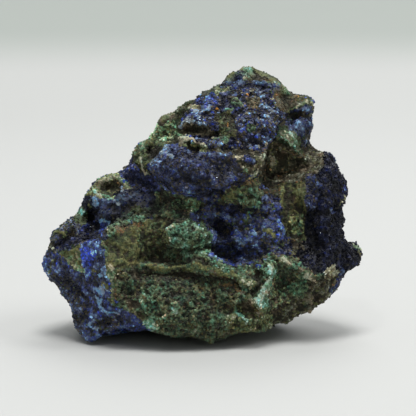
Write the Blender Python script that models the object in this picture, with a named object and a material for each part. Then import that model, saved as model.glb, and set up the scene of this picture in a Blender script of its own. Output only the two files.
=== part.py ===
"""One hand specimen of azurite grown with malachite on brown limonite, as one fused stone.

The stone is laid out from its display side. A place on it is (across, up, near), in millimetres:
across and up as they show to a viewer standing EYE_AWAY in front and EYE_RISE above the table,
and near along the viewer's line of sight, towards the viewer from the stone's middle.
"""

import bpy
import bmesh
import numpy as np
from math import cos, radians, sin
from mathutils import Euler, Matrix, Vector, noise
from mathutils.geometry import delaunay_2d_cdt

MM = 0.001
EYE_AWAY = 430.0  # the viewer's distance from the stone's middle
EYE_RISE = radians(8.0)  # the viewer's height above the table, as an angle
MIDDLE_UP = 32.5  # how far above its foot the middle of the stone shows

REMESH_VOXEL = 0.75  # fuses the chunks into one skin
MERGE = 0.01  # points closer than this are one
FINAL_TRIANGLES = 9400
BASE_LIFT = 0.6  # height at which the stone is ground flat: its front edge stays clear of the table

AZURITE_COLOUR = (0.032, 0.04, 0.145, 1.0)

RELIEF = 1.3  # stretches every near below towards the viewer
CHUNK_DETAIL = 4  # subdivisions of the ball that a chunk starts from
CHUNK_SEED = 700
FLATS_ON_CHUNK = 16
FLAT_AT = (0.84, 0.97)  # how far out each flat lies, as a share of the chunk's reach there

# The stone's outline, clockwise from its left foot: (across, up, near).
OUTLINE = [
    (-30.75, -0.9, 6.6), (-31.3, 0.5, 5.2), (-33.0, 2.5, 3.4), (-33.75, 4.5, 2.5), (-34.0, 7.0, 2.0),
    (-34.5, 9.0, 1.6), (-36.5, 10.75, 1.0), (-37.75, 13.5, 0.6), (-39.5, 14.25, 0.2), (-41.0, 17.0, 0.0),
    (-41.5, 18.5, 0.0), (-41.0, 20.5, 0.0), (-39.75, 22.5, 0.0), (-39.5, 24.0, -0.5),
    (-38.75, 26.5, -0.8), (-36.25, 28.25, -1.0), (-34.5, 29.5, -1.0), (-33.0, 30.75, -1.0),
    (-32.75, 32.0, -1.0), (-31.75, 33.0, -1.2), (-31.5, 35.0, -1.4), (-30.0, 36.5, -2.0),
    (-28.25, 39.0, -2.6), (-26.5, 40.4, -2.8), (-24.5, 40.8, -2.6), (-22.25, 41.1, -2.4),
    (-19.25, 44.0, -2.4), (-18.75, 46.25, -2.6), (-18.5, 47.5, -3.0), (-17.0, 48.75, -3.4),
    (-14.25, 49.75, -3.6), (-14.25, 50.5, -3.8), (-12.75, 52.5, -4.0), (-12.75, 54.0, -4.4),
    (-11.5, 55.5, -4.8), (-8.25, 57.0, -5.0), (-5.75, 58.5, -5.0), (-4.5, 60.0, -5.2),
    (-3.25, 60.0, -5.2), (-1.5, 62.0, -5.4), (1.25, 63.0, -5.6), (3.75, 63.5, -6.0), (5.0, 65.75, -7.0),
    (7.5, 67.75, -8.0), (8.5, 68.25, -8.2), (12.0, 67.5, -8.2), (15.25, 66.0, -8.2),
    (17.75, 64.25, -8.0), (19.75, 62.0, -7.4), (20.25, 61.0, -7.0), (24.75, 60.5, -6.6),
    (26.5, 59.75, -6.2), (26.25, 57.75, -5.0), (25.9, 56.0, -5.0), (26.25, 54.5, -4.6),
    (26.25, 52.5, -4.4), (25.25, 50.5, -4.0), (25.25, 49.0, -4.6), (26.5, 48.0, -5.0),
    (28.0, 47.25, -4.6), (29.25, 48.25, -4.4), (31.75, 46.0, -3.4), (33.25, 43.25, -2.6),
    (34.5, 40.0, -2.0), (35.0, 36.75, -1.4), (34.0, 34.0, -1.0), (33.0, 32.75, 0.0), (33.5, 31.5, 0.0),
    (34.5, 29.5, 0.0), (33.75, 28.75, 0.0), (33.0, 27.25, 0.4), (33.75, 25.75, 0.4), (34.25, 24.25, 0.4),
    (35.5, 23.5, 0.0), (36.75, 24.0, -0.4), (38.0, 22.5, -0.4), (39.5, 20.5, -0.4), (38.25, 18.5, 0.4),
    (34.25, 16.5, 1.2), (33.0, 14.5, 1.2), (32.5, 13.0, 1.2), (30.75, 11.0, 1.4), (29.0, 9.25, 1.6),
    (26.75, 8.0, 2.2), (25.75, 6.75, 2.2), (24.0, 6.5, 2.4), (22.75, 6.25, 2.6), (21.0, 4.75, 3.0),
    (19.75, 3.5, 3.6), (16.75, 3.5, 4.6), (16.0, 2.75, 5.6), (12.75, 1.5, 7.0), (9.0, 1.75, 7.6),
    (5.5, 1.0, 8.0), (2.5, -0.5, 8.0), (0.75, -1.25, 8.2), (-2.0, -0.6, 8.0), (-5.5, 0.25, 8.0),
    (-9.0, 0.6, 8.0), (-12.5, 1.6, 8.2), (-15.5, 2.2, 8.0), (-21.75, 1.0, 7.4), (-27.75, -0.7, 7.0),
]

# The front's relief, as lines of (across, up, near) along each crest, edge and hollow.
RELIEF_LINES = {
    # the peak and the upper block, leaning back
    "peak_face": [(5, 64.3, -4.5), (8, 66.5, -6), (12, 65.7, -6.5), (16, 63.9, -6.5)],
    "peak_hollow": [(11, 65.2, -7), (14.5, 64.8, -7.4)],
    "peak_band": [(4, 63.2, -3), (9, 63.7, -2.4), (12, 63.9, -2.4), (16.5, 62.6, -3.2), (19, 61, -4.5)],
    "peak_foot": [(3, 62.5, -3.8), (8, 62, -3.4), (11, 62.2, -3.6), (15.5, 61.4, -3.6)],
    "block_top": [(-1, 60.8, -1.6), (3, 61.6, -1.2), (6.5, 60.9, -0.2), (10.5, 61.2, 0.6), (13.6, 60, 1)],
    "block_mid": [(-7, 57.2, 0), (-3, 57.8, 2), (2, 57.4, 3.4), (7, 57, 4), (12, 57, 4.5),
                  (15.8, 57.5, 3.5)],
    "block_dip": [(-6, 55.6, 0.6), (-2.5, 55.6, 3.2), (3, 55, 4.4), (8, 55, 5.4), (13, 55.2, 5.6)],
    "block_low": [(-6.8, 53.7, 4), (-4, 54.6, 6), (0, 54, 7), (5, 53.5, 7.5), (10, 53.5, 8),
                  (15, 53.5, 7.6)],
    "block_foot": [(-6.6, 52.8, 4.5), (-3, 52.5, 6.6), (1, 52, 8.2), (5, 51.2, 9), (10, 51, 9.6),
                   (14.5, 50.6, 9)],
    # the slit, the pale-edged plate and the crack above the dark slab
    "slit": [(-6.6, 51.4, 1.4), (-3.5, 51.3, 2), (0.5, 50.9, 3.6), (3.2, 50.3, 6)],
    "plate_top": [(-6, 50.6, 7), (-3.5, 50.5, 8.4), (0, 49.6, 9.6), (5, 48.9, 10), (10, 48.3, 10.5),
                  (14.5, 48, 9.6)],
    "plate_lip": [(-6.7, 49.5, 7.5), (-4, 49.1, 9.6), (-1.5, 48.1, 10.8), (2, 47.4, 11.4), (7, 47.3, 11.2),
                  (12, 47.1, 11), (15.2, 47.5, 9.4)],
    "crack": [(-5.8, 48, 4), (-2.6, 47.2, 6), (1, 46.7, 7.6), (6, 46.6, 8.2), (11, 46.4, 8.6),
              (14.6, 46.3, 8)],
    # the dark slab that juts over the face
    "slab_top": [(-10.2, 47.8, 6.6), (-7.2, 48.4, 7.6), (-4.6, 46.3, 10.8), (0, 46.1, 12.2),
                 (6, 45.8, 12.6),
                 (11, 45.7, 12), (14, 45.3, 10.4)],
    "slab_left": [(-10.2, 47.8, 6.6), (-12.8, 45.3, 7.2), (-14.8, 42.6, 7.8)],
    "slab_mid": [(-12.2, 42.5, 10.8), (-8, 43.2, 12), (-3, 42.5, 13.4), (3, 41.6, 13.2),
                 (8, 42.5, 13.4), (12.2, 42.5, 11.6)],
    "slab_low": [(-13.6, 40.6, 9.6), (-10, 38.4, 12), (-5, 37.2, 13.2), (0, 36.5, 13.8), (3.5, 37.5, 13.8),
                 (8, 39.1, 13), (12, 40.4, 11.4)],
    "slab_under": [(-13.8, 39.4, 4.6), (-10.2, 36.8, 6), (-5, 35.5, 6.6), (0, 35, 6.6), (4, 36.4, 7.4),
                   (8.3, 38, 7.4), (12.4, 39.3, 5.6)],
    "slab_right": [(12.6, 40.8, 11), (13.6, 44, 10.4), (14.6, 46.8, 9.2), (15.8, 49.5, 8.2), (17, 52, 6.5),
                   (17.8, 55, 4.5), (16.6, 58.5, 2.5), (15, 60.8, 0.4)],
    "slab_behind": [(13.6, 40.3, 2.4), (14.9, 43.5, 0.4), (15.8, 46, -2.4), (16.9, 48.8, -0.6),
                    (18.1, 51.8, 2),
                    (18.8, 55, -1), (17.7, 58.9, -3), (16.2, 61, -3.6)],
    # the corner knob and the flap beneath it
    "corner_top": [(18.5, 60, -5), (22, 59.7, -5), (25.3, 59.5, -4.6)],
    "corner_face": [(18.9, 58, -3.8), (21.5, 58.8, -4)],
    "corner_edge": [(19.9, 56.4, -1.6), (22, 57.7, -1), (24.6, 58.8, -2)],
    "knob_high": [(21, 56.4, -1), (23.6, 57, 0.6), (25.3, 56.8, -1)],
    "knob_cleft": [(20.3, 55.2, -3), (23, 55.6, -1.4), (25.7, 55.6, -3.4)],
    "knob_low": [(20.8, 53.6, -0.6), (23.4, 53.6, 1.8), (25.3, 53.2, -0.4)],
    "knob_foot": [(22.4, 51, 0), (24.2, 50.6, -0.4), (24, 48.2, -1.6)],
    "flap_top": [(18.4, 52.4, 4), (20.6, 51.4, 4.4), (22, 49.6, 4.4)],
    "flap_mid": [(19, 50.4, 5.4), (21.2, 48.3, 6.2)],
    "flap_low": [(17.6, 49.6, 4.6), (19.3, 47.8, 6), (21.2, 46.5, 7), (22.9, 46.1, 6.6)],
    "flap_right": [(22.9, 49.3, 0.4), (23.8, 47, 0.6)],
    # the brown recess under the flap
    "recess_back": [(16.4, 46.8, -2.6), (18.6, 46.1, -3), (20.6, 45, -2.8), (22.8, 44.8, -1.6)],
    "recess_floor": [(14.9, 42.5, -1.6), (18, 42.5, -2.8), (21.5, 43, -1.8), (25, 44.4, -0.4),
                     (27.6, 45.9, -2)],
    "recess_band": [(15.2, 39.8, 1), (19, 40.4, 0.4), (23, 41, 2), (26.5, 42.3, 2.8), (28.2, 44.3, 2.2)],
    "recess_low": [(14.6, 38, 2), (18, 38.5, 2), (22, 39.6, 1.6), (24.6, 39.2, 2.4)],
    # the druse wall on the right and its spur
    "wall_top": [(26.6, 46.9, -3.2), (29, 47.4, -2.4)],
    "wall_inner": [(28.8, 44.8, 2.4), (26.9, 40.4, 3.6), (25.2, 37.5, 3.6), (24.9, 33, 3.4),
                   (25.1, 28, 3.4), (25.4, 23.6, 4.4)],
    "wall_crest": [(29.6, 46, 2), (30, 42.5, 4.6), (29.4, 38, 6), (28.8, 33, 6.8), (28.6, 28.5, 6.6),
                   (29, 24, 6.4), (31, 21, 5.6)],
    "wall_outer": [(32, 43.2, 0.6), (33, 38, 2.2), (31.6, 33.6, 4), (31.6, 30.4, 3), (32, 27.6, 3),
                   (32.4, 23.8, 3.6)],
    "spur": [(34.6, 22.6, 1.2), (36.6, 21.4, 1.8), (38, 20.5, 0.8)],
    "spur_low": [(33, 19.2, 4), (36.4, 19, 1.8)],
    # the olive strip beside the wall
    "strip_left": [(18.1, 36.6, 3.2), (18.2, 33, 4.6), (18.4, 29.5, 5), (19.2, 25.4, 4.8)],
    "strip": [(20.6, 37.4, 2.4), (21.2, 33, 1.6), (21.6, 28.6, 1.6), (22, 24.6, 2.4)],
    # the blue middle, with the green lump under the slab
    "lump_top": [(4, 36, 8.4), (8, 36.6, 9.6), (11, 37.6, 9), (13.4, 35.4, 8)],
    "lump_low": [(4.4, 34.2, 8.2), (7.4, 33.8, 9.2), (11, 33.2, 9.2), (13, 33.6, 7.6)],
    "lump_under": [(4.6, 33, 5), (8, 32.2, 5), (12, 31.8, 4.8)],
    "blue_right": [(15.4, 35.6, 5), (16, 31, 6.2), (16.3, 27.5, 6.6), (16.2, 24, 6.2)],
    "blue_high": [(-2.4, 32.8, 6), (-0.4, 30.6, 7), (3.4, 30.4, 6.4), (7, 30.4, 7.2), (11, 29.8, 6.6)],
    "blue_pit": [(1, 28, 4.2), (3.2, 27.1, 3.6)],
    "blue_bumps": [(6.4, 26.6, 8.2), (9, 27, 7), (11.6, 26.6, 8.2), (14, 25.8, 7.4)],
    "blue_brow": [(1.2, 23.9, 7.6), (4, 24.2, 8), (7.5, 24, 7.8), (10.5, 23.8, 7)],
    "mouth_top": [(0.4, 22.6, 5.4), (4, 22.8, 4.6), (8, 22.6, 4.6), (11, 22.6, 5.2)],
    "mouth": [(-0.4, 21.2, 3.4), (3, 21, 2), (7, 21, 2.2), (10.6, 21.4, 3.8)],
    "mouth_lip": [(3.6, 19.4, 6.6), (6.4, 18.8, 8), (9.6, 18.8, 7.6)],
    "blue_foot": [(12.8, 22, 6.4), (14, 19.2, 8), (16.8, 19.6, 7.4), (19.6, 22, 4.4), (22.6, 21.6, 4.4)],
    # the lip and the hollow underside of the right-hand end
    "lip": [(15.6, 20.8, 7.8), (19.3, 19.4, 9), (22, 17.6, 9.4), (25.4, 15.6, 9.2), (28.4, 16.2, 8),
            (31, 17.4, 6.4), (33.2, 16.4, 3.4)],
    "lip_under": [(17.2, 16.6, 5), (19.4, 16, 4), (22, 14.8, 5), (24.8, 13.8, 6)],
    "hollow": [(16.8, 13, 4.4), (19, 11.8, 4.4)],
    "patch": [(20.6, 12.8, 6.6), (22.8, 12.4, 7)],
    "keel": [(26, 12.4, 6.4), (29, 13, 5.6), (31.4, 14.2, 3.6)],
    "keel_low": [(17.6, 8.6, 6.4), (20.2, 6.8, 5.6), (22.6, 8.4, 4.2), (25.2, 8.8, 4.6), (28.4, 10.6, 3.4)],
    "rib": [(13.2, 17.8, 9.4), (15.6, 17, 10.6), (15.6, 15, 11.2), (14.6, 12.8, 11.6), (13.6, 10.8, 12),
            (13.1, 8.8, 11.8)],
    "rib_left": [(12.8, 15.6, 8), (12.2, 12, 9)],
    "rib_right": [(17, 15.6, 5.6), (16.2, 12.6, 5.6), (15.6, 9, 8)],
    # the ledge across the front, with the slot above it
    "slot": [(-14.4, 19.7, 8), (-12.4, 19.5, 7.4), (-9.4, 19.4, 8.4), (-5.4, 19.3, 9.6)],
    "ledge": [(-14.9, 18.6, 11.4), (-12, 18, 12.6), (-7, 17.8, 12.8), (-1.5, 18, 13.4), (2, 17.2, 13.4),
              (5, 16.2, 13), (8, 14.7, 12.2), (11.3, 13.2, 11.4)],
    "ledge_under": [(-14.6, 16.4, 9.8), (-11, 16, 9.8), (-5, 15.9, 10), (1, 15.6, 10.6),
                    (5, 14.4, 10.4), (9, 12.4, 10.2)],
    "strand": [(-5.6, 20.8, 11), (-1.5, 20.5, 11.8), (1.5, 19.2, 12.2), (5, 17.8, 12)],
    # the pale green boss
    "boss_top": [(-9.8, 28.3, 9.4), (-6, 29.3, 10.2), (-4.6, 30, 10), (-2.8, 28.8, 9.2)],
    "boss_crest": [(-9.8, 26.8, 12), (-6, 27, 13), (-3, 26.7, 13), (-0.4, 26, 11.6)],
    "boss_low": [(-9.4, 24.9, 11.4), (-6.4, 24, 12), (-2.6, 24.2, 12), (0.6, 25, 10)],
    "boss_under": [(-9, 23.2, 8.6), (-5, 22.3, 8), (-2, 22.2, 8.4)],
    # the olive face and the arch over it
    "arch": [(-26.4, 24.9, 9.8), (-24.4, 26.3, 9.8), (-22, 27.8, 9.4), (-19, 29, 8.8), (-16.6, 29.6, 8)],
    "arch_back": [(-20, 30.6, 5.6), (-17.8, 32.4, 5.4), (-15, 31, 6.4), (-11.6, 33, 5.4),
                  (-7.5, 34.3, 5), (-3, 33.9, 5.4)],
    "shade": [(-12.5, 30, 8.2), (-8.5, 31.2, 8.2), (-4, 32, 7.6)],
    "olive": [(-24, 23.4, 11), (-20.5, 24.4, 10.8), (-16.5, 25.6, 9.8), (-13, 27.4, 9)],
    "olive_low": [(-22.8, 19, 12.2), (-18.6, 20.6, 11.2), (-17, 18, 11)],
    "olive_dark": [(-15, 23.2, 8.4), (-11.6, 22.2, 7.8), (-12, 25, 8.2)],
    # the mossy lower face
    "moss_high": [(-21, 15, 12.2), (-16, 13.6, 11.8), (-9, 13.6, 12), (-2, 13.4, 12.4), (4, 12.4, 12.4)],
    "moss_mid": [(-20, 10, 12.4), (-14, 9.4, 13), (-7, 9, 13.2), (0, 9.4, 13), (5, 9, 12.4)],
    "moss_low": [(-15.5, 5.4, 12.2), (-10, 4.8, 12.4), (-4, 4.4, 12.4), (2, 4, 12.2), (8, 5, 11.6),
                 (12, 4.4, 11), (14.8, 4.8, 9)],
    "moss_foot": [(-10, 1.8, 10.4), (-4, 0.9, 10.4), (0.5, -0.4, 9.8), (5, 1.8, 10), (10, 2.4, 9.4),
                  (14.8, 3.2, 7.6)],
    "pit": [(8.4, 8.6, 9.4), (10.4, 7, 8.8)],
    "pit_rim": [(6.6, 7, 12.2), (8.8, 11, 11.8), (12, 8, 11.4)],
    # the blue face of the left-hand end
    "corner": [(-25.2, 21, 12.2), (-24.8, 17, 13), (-24.5, 12.5, 13.4), (-23.8, 9, 13.4), (-21, 6.6, 13),
               (-17, 4.2, 12.4), (-13.4, 2.6, 10.8)],
    "blue_face": [(-30.5, 21.4, 8), (-29.4, 18, 8.4), (-30, 13.5, 7.2), (-29, 9, 8), (-29, 5, 7.8),
                  (-29, 2, 7.2)],
    "blue_left": [(-36.4, 19.8, 4.4), (-37, 16.5, 3), (-34.6, 12.4, 3.4), (-32.6, 8, 4.4), (-32, 3.6, 4.8)],
    "foot": [(-26.8, 3.2, 8), (-24.4, 3, 8.8), (-20.6, 2.6, 9.6)],
    # the ridge, the gully and the cavity behind it
    "ridge": [(-39.2, 21.4, 1.2), (-36, 21.2, 4.4), (-32.4, 22.8, 7.4), (-29.6, 24, 8.8)],
    "gully": [(-37.4, 22.8, 0.4), (-34.4, 23.6, 1), (-32, 25, 1.4), (-29.4, 26.2, 1.8), (-26.6, 27, 3),
              (-24, 28.4, 4), (-21.6, 29.8, 4.6)],
    "shoulder": [(-37.8, 25, 1.2), (-36, 26.6, 2), (-33.6, 28.2, 1.6), (-32, 26.6, 2.8)],
    "cavity": [(-29.6, 32, -1.6), (-29.2, 30.4, -4), (-28.6, 28.6, -4), (-27.8, 27.4, -1.4)],
    "cavity_left": [(-30.8, 32, 0.8), (-31.6, 30.6, 1.4), (-30.8, 28.4, 1.6)],
    "cavity_right": [(-27.3, 33, 3), (-26.8, 30, 4.4), (-26.4, 28.2, 4)],
    "brow": [(-25.4, 31, 5.4), (-22.6, 31, 5.2), (-20, 32.2, 5.2)],
    # the knob above it
    "knob_rim": [(-29, 37.5, -0.4), (-26.6, 39.3, -0.4), (-23.6, 39.9, 0.2), (-21.2, 39.8, 0.8),
                 (-19.4, 37.8, 2)],
    "knob_hollow": [(-26.6, 38, -2), (-24.4, 38, -2.6), (-22.4, 38.4, -1.6)],
    "knob_rib": [(-28.6, 36.8, 1.8), (-27, 35.8, 3), (-25.2, 35.2, 3.6)],
    "knob_bumps": [(-27.6, 34, 3), (-25, 33.6, 3.4), (-23, 34.4, 4.8), (-21, 33.6, 5), (-21.4, 37, 3)],
    "knob_side": [(-30.4, 34.2, 0.6), (-30.4, 36, 0)],
    "under_knob": [(-19.2, 35.8, 3.6), (-16.4, 36.4, 4.2), (-13.6, 35.6, 5)],
    "under_knob_low": [(-18.6, 34, 5), (-15.8, 33.2, 5), (-12.2, 34.4, 5.4)],
    # the dark nook, the shelf and the lumps up the left side
    "nook": [(-20.4, 41, -1.4), (-18.2, 39.4, -1.6), (-15.6, 38.6, -0.8), (-13.4, 37.8, 1)],
    "nook_top": [(-19, 43, 0), (-17.6, 42, 1.4)],
    "cream": [(-16.8, 44.4, 3), (-16.2, 42.4, 3.8), (-15.4, 41, 4)],
    "shelf": [(-18, 47, -0.8), (-15.6, 48.2, -0.2), (-12, 48.8, 0.4), (-10, 49.2, 1.6)],
    "shelf_low": [(-17.6, 45.4, 0.8), (-15.6, 46, 1)],
    "shelf_hole": [(-14.4, 46.8, -4), (-12.4, 47.2, -4), (-14, 45.4, -2)],
    "green_lump": [(-13, 51.4, -1.6), (-10.6, 51.6, 1), (-8.2, 52, 1.4), (-8.6, 53.6, 0.6),
                   (-11.4, 53.2, 0)],
    "green_under": [(-13, 50, -2.8), (-9, 50.2, -0.4)],
    "pale_knob": [(-11.4, 54.8, -2.6), (-9, 55.8, -2), (-5.6, 58.2, -2.6)],
}
RELIEF_STEP = 1.2  # spacing of the points taken along the lines
SAME_SPOT = 1e-4  # points of the lines closer than this are one
INSIDE_OUTLINE = 1  # the triangulation's mode that keeps what lies inside the outline

# The rest of the stone's skin, from the outline back: (share of the outline, near,
# share kept of the outline's own near, how far the outline is evened).
SECTIONS = [
    (0.985, -3.5, 0.8, 1), (0.93, -9.0, 0.5, 4), (0.82, -16.0, 0.2, 8), (0.6, -21.5, 0.0, 12),
    (0.26, -24.0, 0.0, 14),
]
CORE_MIDDLE = (1.5, 30.0)

# Chunks that break up the back: name, (across, up, near), (half width, half height, half depth),
# (pitch, yaw, roll) in degrees, squareness. Pitch tips the top away, yaw turns the left side
# towards the viewer, roll lifts the right side, and a squareness of 2 is a ball.
CHUNKS = [
    ("back_hump", (6.0, 38.0, -16.0), (16.0, 13.0, 9.0), (-14, 6, 20), 2.8),
    ("back_low", (-8.0, 12.0, -12.0), (19.0, 11.0, 10.5), (-6, -10, -8), 2.6),
    ("back_foot", (3.0, 9.0, -11.5), (18.0, 8.6, 10.5), (4, 12, 4), 2.4),
    ("back_right", (19.0, 22.0, -12.0), (10.0, 10.0, 9.0), (-8, 16, 0), 2.8),
    ("back_left", (-22.0, 24.0, -11.0), (10.0, 8.0, 8.5), (-10, -18, 20), 2.8),
    ("back_left_foot", (-22.0, 9.0, -6.0), (9.5, 8.4, 10.0), (6, 20, -6), 2.4),
    ("back_shoulder", (-6.0, 46.0, -13.0), (8.0, 6.0, 7.0), (-16, -10, 30), 2.8),
    ("back_top", (14.0, 54.0, -13.0), (8.0, 7.0, 6.0), (-20, 10, -10), 2.8),
    ("back_middle", (0.0, 24.0, -20.0), (9.0, 7.0, 5.0), (-6, 0, -20), 2.8),
    ("back_spur", (28.0, 33.0, -8.0), (5.0, 9.0, 6.0), (0, 20, 6), 2.8),
]

LUMPS = [  # size, height: rounded lumps with creases between them
    (8.0, 1.9),
    (3.7, 1.5),
]
LUMPS_FROM = Vector((5.3, 1.7, 8.1))  # where in their pattern the lumps begin
LUMP_MIDDLE = 0.45  # the share of a lump's size from its top at which it neither rises nor sinks
ROUGHNESS = [  # size, height: plain unevenness
    (14.0, 1.6),
    (5.0, 1.0),
]
ROUGHNESS_FROM = Vector((3.1, 7.7, 1.3))


def eye_frame():
    """The viewer's eye, the stone's middle, and the viewer's right, up and towards directions, in mm."""
    towards = Vector((0.0, -cos(EYE_RISE), sin(EYE_RISE)))
    up = Vector((0.0, sin(EYE_RISE), cos(EYE_RISE)))
    middle = Vector((0.0, 0.0, MIDDLE_UP / cos(EYE_RISE)))
    return middle + towards * EYE_AWAY, middle, Vector((1.0, 0.0, 0.0)), up, towards


EYE, MIDDLE, RIGHT, UP, TOWARDS = eye_frame()


def place(across, up, near=0.0):
    """The point in mm that shows at (across, up), this much nearer than the stone's middle."""
    flat = MIDDLE + RIGHT * across + UP * (up - MIDDLE_UP)
    return flat + (EYE - flat) * (near / EYE_AWAY)


def clear_scene():
    for obj in list(bpy.data.objects):
        bpy.data.objects.remove(obj, do_unlink=True)


def evened(points, reach):
    """The closed line with each point moved to the mean of its neighbours, reach points either way."""
    if not reach:
        return points
    return np.mean([np.roll(points, k, axis=0) for k in range(-reach, reach + 1)], axis=0)


def along_line(line, step):
    """Points along the line, step apart or a little less, with both ends."""
    points = np.array(line, dtype=float)
    run = np.concatenate([[0.0], np.cumsum(np.linalg.norm(np.diff(points[:, :2], axis=0), axis=1))])
    at = np.linspace(0.0, run[-1], max(2, int(np.ceil(run[-1] / step)) + 1))
    return np.stack([np.interp(at, run, points[:, i]) for i in range(3)], axis=1)


def core_mesh():
    """The core: the front's relief inside the outline, and the skin behind it, closed at the back."""
    bm = bmesh.new()
    outline = along_line(OUTLINE + OUTLINE[:1], RELIEF_STEP)[:-1]
    inner = np.concatenate([along_line(line, RELIEF_STEP) for line in RELIEF_LINES.values()])
    points = np.concatenate([outline, inner])
    rim = [(i, (i + 1) % len(outline)) for i in range(len(outline))]
    flat, _, faces, sources, _, _ = delaunay_2d_cdt(
        [Vector(p[:2]) for p in points], rim, [], INSIDE_OUTLINE, SAME_SPOT)
    verts = []
    for spot, source in zip(flat, sources):
        verts.append(bm.verts.new(place(spot.x, spot.y, points[source[0]][2] * RELIEF)))
    for face in faces:
        bm.faces.new([verts[i] for i in face])
    middle = np.array(CORE_MIDDLE)
    rings = [[place(a, u, n * RELIEF) for a, u, n in outline]]
    for share, near, kept, reach in SECTIONS:
        flat_ring = middle + (evened(outline[:, :2], reach) - middle) * share
        own_near = evened(outline[:, 2], reach) * RELIEF * kept
        rings.append([place(a, u, near + n) for (a, u), n in zip(flat_ring, own_near)])
    loops = [[bm.verts.new(p) for p in ring] for ring in rings]
    for near_loop, far_loop in zip(loops, loops[1:]):
        for i, (a, b) in enumerate(zip(near_loop, far_loop)):
            c, d = far_loop[(i + 1) % len(far_loop)], near_loop[(i + 1) % len(near_loop)]
            bm.faces.new((a, b, c, d))
    bm.faces.new(loops[-1])
    bmesh.ops.remove_doubles(bm, verts=bm.verts, dist=MERGE)
    bmesh.ops.triangulate(bm, faces=bm.faces)
    bmesh.ops.recalc_face_normals(bm, faces=bm.faces)
    return bm


def add_chunk(bm, index, where, radii, turn, squareness):
    """A broken stone: a squared ball with flats struck off it, stretched, turned and set in place."""
    rng = np.random.default_rng(CHUNK_SEED + index)
    made = bmesh.ops.create_icosphere(bm, subdivisions=CHUNK_DETAIL, radius=1.0)["verts"]
    points = np.array([v.co for v in made])
    points /= (np.abs(points) ** squareness).sum(1, keepdims=True) ** (1.0 / squareness)
    for _ in range(FLATS_ON_CHUNK):
        flat = rng.normal(size=3)
        flat /= np.linalg.norm(flat)
        reach = (points @ flat).max()
        over = points @ flat - reach * rng.uniform(*FLAT_AT)
        points -= np.outer(np.maximum(over, 0.0), flat)
    pitch, yaw, roll = (radians(a) for a in turn)
    spin = Matrix.Rotation(roll, 3, "Y") @ Euler((-pitch, 0.0, yaw)).to_matrix()
    centre = place(*where)
    half = np.array([radii[0], radii[2], radii[1]])
    for vert, point in zip(made, points * half):
        vert.co = centre + spin @ Vector(point)


def mesh_object(name, bm):
    mesh = bpy.data.meshes.new(name)
    bm.to_mesh(mesh)
    bm.free()
    obj = bpy.data.objects.new(name, mesh)
    bpy.context.scene.collection.objects.link(obj)
    return obj


def apply_modifier(obj, kind, **settings):
    """Runs one modifier and keeps its result as the object's mesh."""
    modifier = obj.modifiers.new(kind.title(), kind)
    for key, value in settings.items():
        setattr(modifier, key, value)
    graph = bpy.context.evaluated_depsgraph_get()
    mesh = bpy.data.meshes.new_from_object(obj.evaluated_get(graph))
    obj.modifiers.remove(modifier)
    old, obj.data = obj.data, mesh
    bpy.data.meshes.remove(old)


def vertex_arrays(mesh):
    points = np.empty(len(mesh.vertices) * 3)
    normals = np.empty(len(mesh.vertices) * 3)
    mesh.vertices.foreach_get("co", points)
    mesh.vertex_normals.foreach_get("vector", normals)
    return points.reshape(-1, 3), normals.reshape(-1, 3)


def keep_points(mesh, points):
    mesh.vertices.foreach_set("co", points.ravel())
    mesh.update()


def shown_at(points):
    """Where each point shows to the viewer, as (across, up), and a mm's size there against the middle's."""
    rays = points - np.array(EYE)
    depth = rays @ -np.array(TOWARDS)
    flat = rays * (EYE_AWAY / depth)[:, None]
    return np.stack([flat @ np.array(RIGHT), flat @ np.array(UP) + MIDDLE_UP], axis=1), depth / EYE_AWAY


def trim_to_outline(obj):
    """Draws in whatever the chunks push out past the outline."""
    points, _ = vertex_arrays(obj.data)
    shown, scale = shown_at(points)
    starts = np.array(OUTLINE)[:, :2]
    ends = np.roll(starts, -1, axis=0)
    best = np.full(len(shown), np.inf)
    nearest = shown.copy()
    inside = np.zeros(len(shown), bool)
    for a, b in zip(starts, ends):
        along = b - a
        share = np.clip((shown - a) @ along / (along @ along), 0.0, 1.0)
        foot = a + share[:, None] * along
        away = np.linalg.norm(shown - foot, axis=1)
        closer = away < best
        best[closer], nearest[closer] = away[closer], foot[closer]
        crosses = (a[1] > shown[:, 1]) != (b[1] > shown[:, 1])
        with np.errstate(divide="ignore", invalid="ignore"):
            at = a[0] + (shown[:, 1] - a[1]) * along[0] / along[1]
        inside ^= crosses & (shown[:, 0] < at)
    move = np.where(inside[:, None], 0.0, nearest - shown) * scale[:, None]
    keep_points(obj.data, points + move[:, :1] * np.array(RIGHT) + move[:, 1:] * np.array(UP))


def weather(obj):
    """Gives the whole skin its lumps, creases and unevenness."""
    points, normals = vertex_arrays(obj.data)
    rise = np.zeros(len(points))
    for i, point in enumerate(points):
        spot = Vector(point)
        for size, height in LUMPS:
            nearest = noise.voronoi(spot / size + LUMPS_FROM, distance_metric="CHEBYCHEV")[0][0]
            rise[i] += height * (LUMP_MIDDLE - nearest)
        for size, height in ROUGHNESS:
            rise[i] += height * noise.noise(spot / size + ROUGHNESS_FROM)
    keep_points(obj.data, points + normals * rise[:, None])


def grind_base(obj):
    """Cuts the stone flat where it rests."""
    bm = bmesh.new()
    bm.from_mesh(obj.data)
    whole = bm.verts[:] + bm.edges[:] + bm.faces[:]
    cut = bmesh.ops.bisect_plane(
        bm, geom=whole, plane_co=(0, 0, BASE_LIFT), plane_no=(0, 0, 1), clear_inner=True)
    rim = [g for g in cut["geom_cut"] if isinstance(g, bmesh.types.BMEdge)]
    bmesh.ops.edgeloop_fill(bm, edges=rim)
    bmesh.ops.triangulate(bm, faces=bm.faces)
    bmesh.ops.recalc_face_normals(bm, faces=bm.faces)
    bm.to_mesh(obj.data)
    bm.free()


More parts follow.
